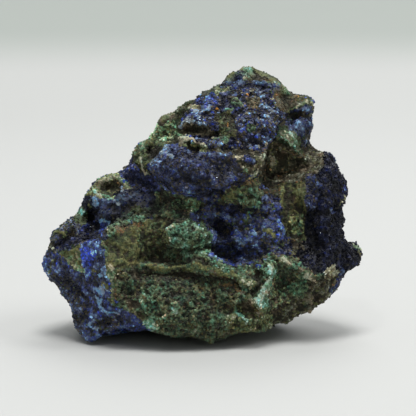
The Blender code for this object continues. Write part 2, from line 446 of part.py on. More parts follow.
def drop_crumbs(obj):
    """Keeps the stone and drops whatever the shaping left loose of it."""
    bm = bmesh.new()
    bm.from_mesh(obj.data)
    left = set(bm.verts)
    bodies = []
    while left:
        body, edge = set(), [left.pop()]
        while edge:
            vert = edge.pop()
            body.add(vert)
            for other in (e.other_vert(vert) for e in vert.link_edges):
                if other in left:
                    left.remove(other)
                    edge.append(other)
        bodies.append(body)
    bodies.sort(key=len)
    bmesh.ops.delete(bm, geom=[v for body in bodies[:-1] for v in body], context="VERTS")
    bm.to_mesh(obj.data)
    bm.free()


def set_on_origin(obj):
    """Moves the stone so that its foot's middle is the origin, and gives it metres."""
    points, _ = vertex_arrays(obj.data)
    low, high = points.min(0), points.max(0)
    shift = np.array([-(low[0] + high[0]) / 2, -(low[1] + high[1]) / 2, -low[2]])
    keep_points(obj.data, (points + shift) * MM)
    return shift


def azurite_material():
    material = bpy.data.materials.new("azurite")
    material.use_nodes = True
    shader = material.node_tree.nodes["Principled BSDF"]
    shader.inputs["Base Color"].default_value = AZURITE_COLOUR
    shader.inputs["Roughness"].default_value = 0.55
    shader.inputs["Metallic"].default_value = 0.0
    return material


def main():
    clear_scene()
    bm = core_mesh()
    for index, (_, where, radii, turn, squareness) in enumerate(CHUNKS):
        add_chunk(bm, index, where, radii, turn, squareness)
    stone = mesh_object("azurite_rock", bm)
    apply_modifier(stone, "REMESH", mode="VOXEL", voxel_size=REMESH_VOXEL)
    apply_modifier(stone, "SMOOTH", factor=0.5, iterations=1)
    weather(stone)
    trim_to_outline(stone)
    triangles = 2 * len(stone.data.polygons)
    apply_modifier(stone, "DECIMATE", ratio=FINAL_TRIANGLES / triangles)
    grind_base(stone)
    drop_crumbs(stone)
    stone.data.materials.append(azurite_material())
    return set_on_origin(stone)


FOOT_SHIFT = main()
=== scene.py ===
"""Finishes a hand specimen of azurite: its skin, crystals, malachite crusts and earthy grains.

The stone is painted from its display side. A place there is (across, up), in millimetres, as it
shows to a viewer standing EYE_AWAY in front and EYE_RISE above the table.
"""

from functools import cache
from math import cos, radians, sin
from typing import NamedTuple

import bpy
import numpy as np
from bpy.props import FloatProperty, FloatVectorProperty, IntProperty, PointerProperty
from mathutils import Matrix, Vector, noise
from mathutils.bvhtree import BVHTree


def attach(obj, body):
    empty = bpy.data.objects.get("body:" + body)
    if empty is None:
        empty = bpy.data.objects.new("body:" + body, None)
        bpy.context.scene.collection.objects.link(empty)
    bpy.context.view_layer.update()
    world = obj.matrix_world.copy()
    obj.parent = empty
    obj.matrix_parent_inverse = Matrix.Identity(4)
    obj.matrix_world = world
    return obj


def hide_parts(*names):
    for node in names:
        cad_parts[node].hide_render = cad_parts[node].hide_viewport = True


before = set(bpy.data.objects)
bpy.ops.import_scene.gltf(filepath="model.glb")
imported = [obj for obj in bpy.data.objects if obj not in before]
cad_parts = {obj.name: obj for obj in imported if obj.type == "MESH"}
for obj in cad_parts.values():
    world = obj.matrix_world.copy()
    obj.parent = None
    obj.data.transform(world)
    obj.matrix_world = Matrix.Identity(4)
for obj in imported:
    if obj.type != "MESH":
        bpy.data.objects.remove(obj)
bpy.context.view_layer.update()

bl_info = {
    "name": "Azurite specimen",
    "version": (1, 0, 0),
    "blender": (4, 5, 0),
    "location": "3D View > Sidebar > Specimen",
    "description": "Dresses the azurite stone in crystals, malachite and limonite, and sets its stage",
    "category": "Object",
}

MM = 0.001
NODE = "azurite_rock"
BODY = "root"

EYE_AWAY = 430.0  # mm
EYE_RISE = radians(8.0)
MIDDLE_UP = 32.5  # mm
STONE_SHIFT = Vector((1.295, -2.413, -0.6))  # from the viewer's frame to the stone's own, mm
VIEW_WIDTH = 104.0  # mm across the frame at the stone's middle
SENSOR = 36.0  # mm

BACK_FROM = -5.0  # mm towards the viewer: behind this the skin follows the back's own pattern
PEAK_FROM = 62.5  # height above which the far side is painted as the near side
BACK_BLEND = 5.0  # mm over which the two patterns mingle


# ---------------------------------------------------------------- sizes and colours

def colour(name, description, value):
    """A colour that a user may change."""
    return FloatVectorProperty(
        name=name, description=description, subtype="COLOR", size=3, min=0.0, max=1.0, default=value)


class SpecimenColours(bpy.types.PropertyGroup):
    """Colours of the minerals, which every finish is mixed from."""
    night: colour("Night", "Deepest azurite druse", (0.008, 0.009, 0.018))
    navy: colour("Navy", "Dark azurite", (0.014, 0.017, 0.046))
    slate: colour("Slate", "Dull slate-blue azurite", (0.04, 0.046, 0.088))
    royal: colour("Royal", "Clear mid-blue azurite", (0.028, 0.042, 0.16))
    vivid: colour("Vivid", "Brightest blue azurite", (0.034, 0.06, 0.37))
    steel: colour("Steel", "Greyish blue bloom", (0.095, 0.135, 0.22))
    sky: colour("Sky", "Pale blue bloom", (0.21, 0.39, 0.62))
    frost: colour("Frost", "Palest blue-grey lip", (0.27, 0.33, 0.37))
    forest: colour("Forest", "Dark malachite", (0.014, 0.024, 0.013))
    moss: colour("Moss", "Mossy malachite", (0.046, 0.068, 0.03))
    fern: colour("Fern", "Mid malachite", (0.075, 0.135, 0.07))
    sage: colour("Sage", "Greyish green crust", (0.15, 0.18, 0.095))
    mint: colour("Mint", "Light malachite", (0.14, 0.27, 0.16))
    aqua: colour("Aqua", "Palest aqua malachite", (0.36, 0.52, 0.43))
    olive: colour("Olive", "Olive crust", (0.105, 0.112, 0.042))
    ochre: colour("Ochre", "Yellow ochre", (0.21, 0.215, 0.09))
    umber: colour("Umber", "Dark brown limonite", (0.027, 0.0245, 0.0155))
    brown: colour("Brown", "Brown limonite", (0.064, 0.056, 0.036))
    rust: colour("Rust", "Rust-brown limonite", (0.26, 0.145, 0.065))
    orange: colour("Orange", "Orange fleck", (0.42, 0.2, 0.035))
    tan: colour("Tan", "Tan-grey earth", (0.165, 0.155, 0.108))
    cream: colour("Cream", "Cream crust", (0.46, 0.46, 0.33))


class SpecimenSizes(bpy.types.PropertyGroup):
    """Sizes of the skin's mesh and of what grows on it."""
    skin_voxel: FloatProperty(
        name="Skin voxel", description="Spacing of the skin's mesh", unit="LENGTH", default=0.35 * MM)
    crystal: FloatProperty(
        name="Crystal", description="Width of a middling azurite crystal", unit="LENGTH", default=0.47 * MM)
    tuft: FloatProperty(
        name="Tuft", description="Width of a middling malachite tuft", unit="LENGTH", default=0.4 * MM)
    grain: FloatProperty(
        name="Grain", description="Width of a middling earthy grain", unit="LENGTH", default=0.36 * MM)
    seed: IntProperty(name="Seed", description="Sets the crystals' arrangement", default=17, min=1)


# ---------------------------------------------------------------- what the stone is made of

class Finish(NamedTuple):
    """A finish: its colours from dark to light with their shares, what grows on it, how much of it that
    covers, that growth's size against the middling one, and how deep its lumps are in mm."""
    mix: dict
    growth: str
    cover: float
    size: float
    relief: float


FINISHES = {
    "night_druse": Finish(
        {"night": 3.4, "umber": 1, "navy": 5.4, "brown": 0.3, "slate": 2.2, "royal": 2.2, "vivid": 0.15,
         "steel": 0.2},
        "crystal", 0.7, 0.9, 1.5),
    "slab_druse": Finish(
        {"night": 2.4, "umber": 1.8, "navy": 3.6, "brown": 1.4, "slate": 4, "royal": 0.8, "steel": 0.5},
        "crystal", 0.7, 0.85, 1.3),
    "block_druse": Finish(
        {"night": 3.4, "umber": 1.8, "navy": 3, "brown": 1.7, "slate": 2.8, "royal": 1.3, "vivid": 0.35,
         "steel": 1.5, "tan": 1, "sky": 0.35, "frost": 0.3},
        "crystal", 0.75, 1.1, 2.6),
    "middle_blue": Finish(
        {"night": 2.6, "umber": 1.4, "navy": 3, "brown": 1, "moss": 0.6, "slate": 3.4, "royal": 1.2,
         "vivid": 0.1, "steel": 1.2},
        "crystal", 0.7, 0.95, 2.2),
    "left_blue": Finish(
        {"night": 1.4, "umber": 1, "navy": 2.4, "moss": 0.5, "slate": 2.2, "royal": 2.6, "vivid": 0.35,
         "steel": 1.8, "sky": 0.25},
        "crystal", 0.5, 0.7, 1.1),
    "left_dark": Finish(
        {"night": 2.6, "umber": 2.4, "navy": 2.2, "moss": 0.6, "brown": 1.2, "slate": 2.2,
         "steel": 0.8},
        "crystal", 0.65, 0.85, 1.1),
    "vivid_blue": Finish(
        {"navy": 1.6, "royal": 3.2, "vivid": 2.6, "steel": 2, "sky": 0.7},
        "crystal", 0.6, 0.8, 1.0),
    "worn": Finish(
        {"umber": 0.5, "moss": 0.8, "olive": 1.8, "sage": 2.2, "tan": 1.8, "cream": 0.4},
        "grain", 0.12, 0.7, 0.3),
    "steel_blue": Finish(
        {"navy": 1.4, "slate": 2.2, "royal": 1.8, "steel": 3.2, "sky": 0.7},
        "crystal", 0.5, 0.75, 1.0),
    "sky_blue": Finish({"sky": 6, "frost": 1}, "tuft", 0.3, 0.7, 0.5),
    "frosty": Finish(
        {"slate": 1.4, "steel": 2, "tan": 1, "sky": 1.2, "frost": 2.4},
        "crystal", 0.5, 0.8, 0.8),
    "shade_mix": Finish(
        {"umber": 2.6, "night": 2, "navy": 2, "forest": 1, "brown": 1.2, "moss": 1.4, "slate": 2.8,
         "steel": 1.3, "tan": 0.9},
        "crystal", 0.6, 0.9, 1.6),
    "moss": Finish(
        {"umber": 3, "forest": 2.6, "brown": 1.8, "moss": 3.4, "olive": 2.6, "fern": 1.9, "sage": 2,
         "mint": 0.6},
        "tuft", 0.45, 0.75, 2.1),
    "dark_moss": Finish(
        {"umber": 4, "forest": 3.4, "brown": 1.8, "moss": 3, "olive": 0.6, "fern": 0.8, "sage": 0.8},
        "tuft", 0.45, 0.8, 1.9),
    "pale_moss": Finish(
        {"umber": 1.4, "forest": 1.6, "brown": 0.8, "moss": 2.6, "olive": 1.4, "fern": 2.4, "sage": 1.8,
         "mint": 2, "cream": 0.3},
        "tuft", 0.45, 0.75, 1.9),
    "boss": Finish(
        {"umber": 0.8, "forest": 1.6, "moss": 1.6, "fern": 3.4, "mint": 3.2, "aqua": 0.5},
        "tuft", 0.5, 0.75, 1.8),
    "aqua": Finish({"fern": 1.6, "mint": 4, "aqua": 3.4, "cream": 0.4}, "tuft", 0.4, 0.8, 0.5),
    "deep_green": Finish({"forest": 3, "moss": 2, "fern": 3, "mint": 0.6}, "tuft", 0.5, 0.8, 1.2),
    "olive": Finish(
        {"umber": 1.4, "brown": 1.6, "moss": 1.4, "olive": 4.6, "ochre": 3, "sage": 0.6},
        "grain", 0.4, 0.7, 0.8),
    "olive_dark": Finish(
        {"umber": 3.4, "forest": 1.2, "brown": 2.4, "moss": 1.8, "olive": 2.8, "fern": 0.5,
         "sage": 1.2},
        "grain", 0.45, 0.8, 1.7),
    "pale_olive": Finish(
        {"umber": 1.8, "brown": 1.6, "moss": 1.6, "olive": 2.2, "ochre": 1.4, "fern": 1.6, "sage": 2.6,
         "cream": 0.7},
        "grain", 0.45, 0.85, 1.7),
    "ochre": Finish(
        {"brown": 1.2, "olive": 2.8, "ochre": 4, "fern": 0.6, "sage": 1},
        "grain", 0.4, 0.8, 0.5),
    "rust": Finish(
        {"umber": 0.4, "brown": 2.4, "rust": 2.2, "olive": 1.8, "tan": 2.4},
        "grain", 0.4, 0.8, 0.7),
    "orange": Finish({"rust": 1, "orange": 3}, "grain", 0.6, 0.8, 0.3),
    "brown": Finish(
        {"umber": 2.6, "brown": 4, "rust": 0.5, "olive": 1, "tan": 1.8},
        "grain", 0.55, 0.9, 1.1),
    "umber": Finish({"umber": 3.4, "brown": 3.4, "tan": 0.9}, "grain", 0.5, 0.9, 0.9),
    "tan": Finish(
        {"umber": 0.8, "brown": 2.6, "olive": 0.6, "tan": 4, "cream": 0.6},
        "grain", 0.5, 0.9, 0.9),
    "brown_grey": Finish(
        {"umber": 2.4, "forest": 0.6, "brown": 3.4, "olive": 1.2, "tan": 2.8, "cream": 0.3},
        "grain", 0.55, 0.95, 1.3),
    "cream": Finish({"tan": 1.4, "sage": 0.5, "cream": 6}, "grain", 0.3, 0.7, 0.4),
    "flap": Finish(
        {"moss": 2, "fern": 2.2, "olive": 1.8, "tan": 2.4, "mint": 1.1},
        "grain", 0.3, 0.7, 0.5),
    "grey_green": Finish(
        {"brown": 1.2, "moss": 1.6, "olive": 1.2, "fern": 1.4, "tan": 1.8, "sage": 2.6, "mint": 0.8,
         "cream": 1},
        "grain", 0.4, 0.8, 1.3),
}

# Areas of one finish, each over the ones before it: (name, finish, how light it is, outline). How light an
# area is holds painted light and shade as well as the area's own colour: areas deep in shade, such as the
# nook, the mouth and the recess, are painted lighter; ones the lamps catch, such as the wall and the peak,
# are painted darker; and holes such as the shelf's hole and the peak's hollow are painted dark.
AREAS = [
    ("base_middle", "pale_moss", 0.95, [
        (-12, 26), (-9, 29), (-4, 32), (2, 26), (17, 21), (23, 25), (25, 20), (29, 18), (34, 15),
        (34, 12), (14, 8), (-12, 12)]),
    ("base_left", "left_dark", 0.6, [
        (-31, 24.6), (-31, 34), (-25, 33), (-18, 32), (-18, 24.8), (-26, 24)]),
    ("base_shelf", "pale_olive", 0.25, [(-11, 47), (-11, 56), (-6, 56), (-3.6, 52), (-3.6, 47)]),
    ("base_top", "shade_mix", 2.6, [(15, 53), (15, 62), (21, 62), (21, 56), (20.4, 53)]),
    ("base_seam", "middle_blue", 2.45, [
        (-13, 33), (-13, 39), (5, 38), (13, 40), (16, 38), (16, 34), (4, 33)]),
    ("base_gap", "night_druse", 0.6, [(0, 46.5), (0, 48), (14, 48), (14, 46.5)]),
    ("base_recess", "tan", 0.65, [(25, 41), (25, 44.5), (30, 44.5), (30, 41)]),
    ("base_end", "middle_blue", 1.0, [(31, 14), (31, 18), (34.4, 18), (34.4, 14)]),
    ("base_boss", "dark_moss", 0.75, [(-11, 27), (-11, 32), (-4, 32), (-4, 27)]),
    ("base_strip", "brown", 1.0, [(19.6, 22), (19.6, 25), (24, 25), (24, 22)]),
    ("lower_face", "moss", 0.95, [
        (-25, 19), (-24.5, 12), (-24, 8), (-20, 5.5), (-15, 2), (-12, -1), (0, -4), (10, -1), (17, 1),
        (18, 6), (16, 12), (14, 15), (8, 17), (0, 19), (-15, 20)]),
    ("lower_left_trim", "grey_green", 1.15, [
        (-25, 18.5), (-23.4, 18), (-22.4, 13), (-22, 9.6), (-24, 7.6), (-24.8, 12)]),
    ("lower_shade", "dark_moss", 0.9, [
        (-16, 16.6), (-6, 15.8), (3, 15.4), (2, 13.2), (-6, 13.6), (-15, 13.4)]),
    ("lower_pale", "pale_moss", 1.15, [
        (-20, 9.6), (-14, 10), (-8, 9), (-5, 5), (-12, 4.6), (-18, 5.6)]),
    ("lower_right", "pale_olive", 1.05, [
        (5, 7), (9, 10), (13, 8.6), (16, 7.6), (16.6, 2.6), (12, 1.2), (6, 1.6)]),
    ("left_face", "left_blue", 1.6, [
        (-43, 17), (-42, 22), (-36, 21.2), (-32, 23.2), (-28, 25), (-26, 24.4), (-25.2, 20),
        (-24.9, 16), (-24.8, 12), (-24, 8.4), (-20.5, 7), (-16.5, 4.2), (-12.5, 0.5), (-20, -3),
        (-33, -4), (-38, 6), (-42, 13)]),
    ("left_face_dark", "left_dark", 1.55, [
        (-43, 15), (-37, 15.6), (-33.6, 14.4), (-31.4, 10), (-30.6, 6), (-31.6, 3), (-31, -2),
        (-35, -3), (-39, 6), (-43, 12)]),
    ("left_face_steel", "steel_blue", 1.0, [
        (-28, 22), (-26, 21.6), (-25.3, 17), (-25.4, 10.6), (-27.6, 10.8), (-27, 16)]),
    ("left_face_vivid", "vivid_blue", 2.6, [
        (-32.4, 21.4), (-30.4, 23.4), (-28.4, 22.2), (-28.6, 18.6), (-31.4, 18.2)]),
    ("left_face_olive", "grey_green", 2.05, [
        (-36.4, 20.4), (-33.6, 21.2), (-31.8, 22.2), (-31.8, 19.4), (-31, 16.6), (-33.8, 16.6),
        (-35, 18)]),
    ("left_foot", "left_dark", 2.6, [(-29, 4.6), (-25, 4.8), (-22, 4.4), (-23, 1.6), (-28, 1.6)]),
    ("shoulder", "shade_mix", 1.35, [
        (-42, 22), (-40, 28), (-34, 32), (-31, 31), (-30, 27), (-26, 27), (-29, 24.6), (-36, 21)]),
    ("gully", "night_druse", 0.55, [
        (-38.6, 22.4), (-35, 22.2), (-31.6, 24), (-28.6, 25), (-26.4, 26), (-26.8, 28), (-27.2, 31.6),
        (-28.4, 33), (-30, 31.6), (-30.6, 28.6), (-32.6, 26), (-36.6, 24.4)]),
    ("left_lump", "grey_green", 0.8, [
        (-34, 33), (-30.8, 32.6), (-29.8, 30.6), (-30.6, 27.6), (-33, 29)]),
    ("left_knob", "olive_dark", 2.6, [
        (-32, 37), (-27, 42), (-20, 42), (-18.6, 37.6), (-22, 35.6), (-26, 32.6), (-30, 33)]),
    ("left_knob_blue", "left_blue", 0.25, [(-32.4, 35.4), (-29.6, 36), (-29.4, 33), (-31.6, 32.4)]),
    ("left_knob_front", "steel_blue", 0.85, [
        (-29.8, 35.8), (-27, 35), (-24.8, 34.8), (-22, 34.6), (-22.6, 32.2), (-26.4, 31.8),
        (-28.4, 32.4)]),
    ("under_knob", "left_blue", 0.3, [
        (-23, 36.6), (-19, 37.4), (-11.6, 37), (-11, 34.4), (-13.4, 32.6), (-17, 30.6), (-20, 31.6),
        (-24.4, 30.6), (-26.8, 31), (-24.6, 33.4)]),
    ("nook", "night_druse", 2.6, [
        (-23, 42), (-19, 46), (-17.4, 43), (-15, 40.6), (-12.4, 39), (-12, 36.6), (-19.2, 37.6)]),
    ("shelf", "olive_dark", 1.1, [
        (-20, 48), (-15, 51), (-9, 50.4), (-10.4, 47.6), (-13, 45), (-15, 41), (-17, 41),
        (-18.6, 44.6)]),
    ("shelf_green", "pale_moss", 1.05, [
        (-19.4, 48.6), (-16.6, 50), (-15.4, 48.4), (-16.6, 46.6), (-18.8, 46)]),
    ("shelf_hole", "umber", 0.25, [(-15.2, 47.6), (-11.4, 48), (-12.4, 45.4), (-14.8, 44.8)]),
    ("green_lump", "pale_moss", 2.5, [
        (-15.4, 49.8), (-14.6, 52.4), (-12.6, 53.6), (-8, 54), (-6.8, 51), (-9.6, 49.6)]),
    ("pale_knob", "worn", 1.0, [
        (-14.4, 52.8), (-13.8, 56.4), (-9.4, 58), (-8.6, 55.8), (-9.6, 53.6), (-12, 53)]),
    ("slope_brown", "brown", 1.2, [
        (-9.4, 54.6), (-9, 58.4), (-5.6, 60.6), (-5, 59), (-7.4, 56), (-8.2, 54.4)]),
    ("upper_edge", "pale_olive", 0.4, [
        (-9.6, 57.6), (-5, 62), (-2.6, 60), (-3.4, 58.4), (-6.6, 54.2), (-8.4, 55)]),
    ("block", "block_druse", 1.1, [
        (-7, 53), (-5, 57), (-2, 60.6), (2, 62.4), (5, 62.4), (10, 62), (14.6, 62.6), (16.8, 58),
        (18.2, 55), (17, 51), (15.6, 47.4), (8, 47.2), (1, 47.4), (-4, 49), (-5.6, 51)]),
    ("block_green", "pale_moss", 0.25, [(-3, 61), (0, 64), (3.4, 64), (2.4, 61.4), (0, 60.2)]),
    ("block_tan", "pale_olive", 1.25, [(1.8, 60.6), (2.4, 63.4), (7.4, 62.6), (7, 61.6), (4.4, 61)]),
    ("block_brown", "brown", 1.1, [(9.4, 60.4), (13, 60), (13.6, 57.8), (11.6, 57), (9.8, 58.2)]),
    ("block_olive", "olive_dark", 0.9, [
        (2.4, 56.2), (6, 56.8), (6.8, 53.4), (7.6, 51), (4.6, 49.4), (1.6, 50.4), (2, 53.4)]),
    ("block_sky", "frosty", 1.35, [
        (-4.4, 56.4), (-2, 57.8), (0.8, 58), (1, 57), (-1, 56.8), (-1.8, 55), (-3.8, 55.6)]),
    ("tan_lump", "tan", 2.0, [(-4.8, 58), (-3, 58.8), (-1.6, 57.6), (-4, 57)]),
    ("slit", "umber", 2.6, [
        (-7, 52.4), (-3.6, 52), (0.6, 51.8), (3.4, 50.6), (0.6, 50.2), (-3.4, 50.8), (-6.8, 51)]),
    ("plate_hollow", "olive_dark", 1.75, [
        (-6.4, 49), (-3.8, 49.2), (-1, 47.9), (1.6, 46.8), (-2.4, 46.4), (-5.4, 47.6)]),
    ("slab", "slab_druse", 1.0, [
        (-15.4, 42.4), (-13, 45.4), (-10.4, 48), (-7, 48.8), (-4.6, 46.8), (2, 46.8), (10, 46.8),
        (15, 47.4), (14.4, 44), (12.8, 40), (8.4, 38.6), (3.6, 36.8), (0, 35.6), (-5, 36), (-10.2, 37),
        (-14, 40)]),
    ("slab_left", "steel_blue", 1.4, [
        (-15.2, 42.6), (-13, 45.4), (-10.4, 48), (-7, 48.8), (-6.4, 47), (-9.6, 45.6), (-12.4, 43.6),
        (-14.2, 41.6)]),
    ("slab_end", "brown_grey", 1.35, [
        (5.6, 45.8), (11, 46.4), (14.4, 46), (13.4, 42.6), (12.6, 40.2), (9.6, 40.6), (8, 43)]),
    ("peak", "olive_dark", 0.25, [
        (2.6, 62.6), (4.6, 67), (8, 70), (13, 70), (19, 66), (22, 61.6), (16.4, 62.4), (4, 62.6)]),
    ("peak_hollow", "umber", 0.25, [(11, 66), (14, 65.8), (17, 64.4), (14, 63.9), (11, 64.6)]),
    ("peak_blue", "middle_blue", 0.25, [(6.6, 64.4), (7.6, 66.6), (9.4, 66.6), (9.2, 64.4)]),
    ("peak_band", "middle_blue", 0.8, [
        (3.4, 62.6), (4, 64.1), (10, 64.2), (16.6, 63.8), (19, 62), (19.6, 60.8), (14.6, 61), (10, 62),
        (6, 62)]),
    ("corner_top", "brown", 0.75, [
        (16, 62.4), (20.6, 62), (28, 61.6), (27, 58.4), (24.8, 59), (20, 56.2), (18, 56.6),
        (16.4, 60)]),
    ("corner_olive", "olive", 0.35, [
        (22.6, 59.2), (23, 61.4), (28, 61.4), (27.4, 57.4), (25.6, 57.6), (24.8, 59.2)]),
    ("corner_knob", "left_blue", 0.55, [
        (20, 56.2), (24.6, 58.9), (26.2, 57.4), (28, 55), (27.6, 51), (25.4, 48.6), (23.6, 48),
        (22.6, 50), (20.4, 52.8)]),
    ("corner_low", "shade_mix", 1.95, [(23.4, 51), (26, 51), (26, 47.4), (23.6, 46)]),
    ("flap", "flap", 0.65, [
        (17.4, 53.6), (20.4, 53.4), (22.2, 51), (23.6, 46), (22.8, 45.6), (19, 48.4), (17, 50.4)]),
    ("recess", "brown", 0.65, [
        (13.4, 46.4), (17, 50), (19, 48.2), (22.8, 45.6), (25, 48.4), (29, 48.4), (29.4, 44),
        (25.4, 41.6), (24.4, 39.4), (14, 37.6), (12.8, 40)]),
    ("recess_dark", "brown", 1.45, [
        (15.2, 47.4), (17.4, 49.4), (19.2, 48), (22.6, 45.6), (23, 44.4), (19, 43.8), (15.8, 45)]),
    ("recess_deep", "brown", 2.6, [(15.2, 46.8), (21.8, 45.6), (22.4, 43.6), (20, 41.4), (15.6, 41.6)]),
    ("recess_tan", "tan", 1.05, [
        (22.6, 43), (24.4, 46.4), (27.6, 46.4), (29.2, 44.2), (26.6, 42), (23, 40.4), (19.6, 39.6),
        (19, 40.6)]),
    ("wall", "night_druse", 0.25, [
        (27.8, 47.6), (29.3, 50), (33, 47), (36, 40), (36.4, 35), (35, 33), (36, 29.5), (34.6, 27),
        (36, 24), (38, 26), (42, 20.5), (39, 16), (34, 15), (32.4, 17.6), (27, 16.4), (24, 18.6),
        (20.6, 21), (23.4, 24), (24.6, 30), (24.4, 37), (27, 41), (29.6, 43.6)]),
    ("wall_slate", "slab_druse", 1.55, [
        (24.4, 40.6), (27, 41.4), (28, 38), (27, 33), (24.8, 31), (24.2, 37)]),
    ("strip", "olive", 0.65, [
        (17.4, 38.6), (24, 39.2), (24.6, 37), (24.6, 30), (24.2, 24.4), (19.4, 24.4), (18.3, 30),
        (17.8, 35)]),
    ("strip_brown", "brown", 0.55, [(14, 39), (18, 38.6), (18, 34), (15.4, 35.4), (13.6, 37.6)]),
    ("strip_pale", "pale_olive", 2.6, [(20, 31.4), (24, 30.6), (24.2, 26), (20.4, 25.8)]),
    ("middle", "middle_blue", 1.65, [
        (-4.4, 33), (-2, 35.6), (3, 33.6), (7, 33), (9, 31.4), (13, 33), (15, 35.6), (17.2, 36),
        (18, 33), (18.5, 29), (19.4, 25), (21.6, 22.4), (21, 20.6), (16.6, 20.6), (13, 17.8), (8, 17.8),
        (3.5, 18.4), (-1, 21), (1, 25), (-0.5, 28), (-4, 29)]),
    ("mouth", "left_blue", 2.3, [
        (-1.4, 22.4), (4, 23.6), (12, 23.2), (13, 21.4), (9, 20), (3, 19.6), (-0.5, 20.6)]),
    ("lump", "pale_moss", 1.05, [
        (4, 34), (6, 36.4), (10, 37), (12, 38.6), (14.4, 36), (13.6, 33.2), (10.8, 31), (8.6, 31.6),
        (6.6, 33.2)]),
    ("lump_top", "olive_dark", 2.6, [
        (2.6, 34), (4, 36.6), (9, 38.8), (12.4, 40.4), (14, 38.8), (10.4, 37.2), (7.4, 35.4),
        (6.4, 33.4), (3, 33.4)]),
    ("lump_rust", "rust", 1.55, [(6.4, 37.6), (9, 38.9), (12.4, 40.2), (12.8, 39.2), (9.6, 38)]),
    ("shade", "dark_moss", 1.25, [(-13, 36.4), (-4, 36), (-1, 34), (-4, 31.6), (-9, 29.4), (-14, 29)]),
    ("shade_green", "pale_moss", 2.0, [(-5.2, 35), (-3, 35), (-1, 33.4), (-2.6, 31.8), (-5.6, 32.6)]),
    ("olive_face", "olive", 0.8, [
        (-26.6, 24.6), (-22, 27.6), (-17, 29.6), (-12, 30.2), (-10.4, 26), (-13.6, 19.4), (-20, 17.4),
        (-24.9, 17), (-25.6, 21)]),
    ("olive_shade", "olive_dark", 1.35, [
        (-17.4, 27.6), (-11, 30), (-9.8, 25), (-11.6, 19.6), (-16, 19.4), (-17.6, 23.4)]),
    ("arch_green", "deep_green", 0.4, [
        (-25.4, 26.4), (-21.6, 30.6), (-18.4, 31.4), (-12.4, 34), (-10.6, 32.6), (-15, 30), (-19, 29.2),
        (-22.4, 28)]),
    ("arch_top", "olive_dark", 0.55, [(-20, 31.2), (-17.7, 33.6), (-15.6, 31.6), (-17, 30.6)]),
    ("boss", "boss", 0.95, [
        (-11, 27.2), (-9, 28.8), (-6.5, 29), (-5, 30.4), (-3.8, 29.6), (-3, 28.5), (0, 27.2), (1.6, 25),
        (0.6, 23.4), (-3, 23.8), (-6, 23.6), (-8.7, 24.3), (-9.7, 25.5)]),
    ("boss_foot", "deep_green", 1.3, [(-8.6, 23.8), (0.4, 23.8), (0.6, 21.6), (-4, 21.2), (-7.6, 22)]),
    ("foot_aqua", "aqua", 1.35, [(-16.6, 4.4), (-14, 4.8), (-12.4, 2), (-14, 1.6), (-16, 3)]),
    ("pit", "umber", 1.5, [(8.8, 9.4), (11.4, 9.6), (11.4, 6.4), (9.4, 6)]),
    ("keel_green", "dark_moss", 2.15, [
        (16.4, 17), (21, 16.4), (25, 14), (25.2, 10), (17, 7.6), (15.2, 10)]),
    ("keel_patch", "deep_green", 1.35, [(20, 13.6), (24.4, 14.2), (24, 11), (21, 10.4)]),
    ("keel", "brown_grey", 0.95, [
        (25, 14.6), (28, 15.6), (31.4, 16), (33, 13), (31, 9), (26, 5), (20, 2), (16, 1.6), (16, 7),
        (20, 9), (25, 10.4)]),
    ("keel_tan", "tan", 2.55, [(28.4, 17), (31.6, 18.4), (32.2, 16.2), (30.6, 14.8), (28.6, 15.2)]),
]
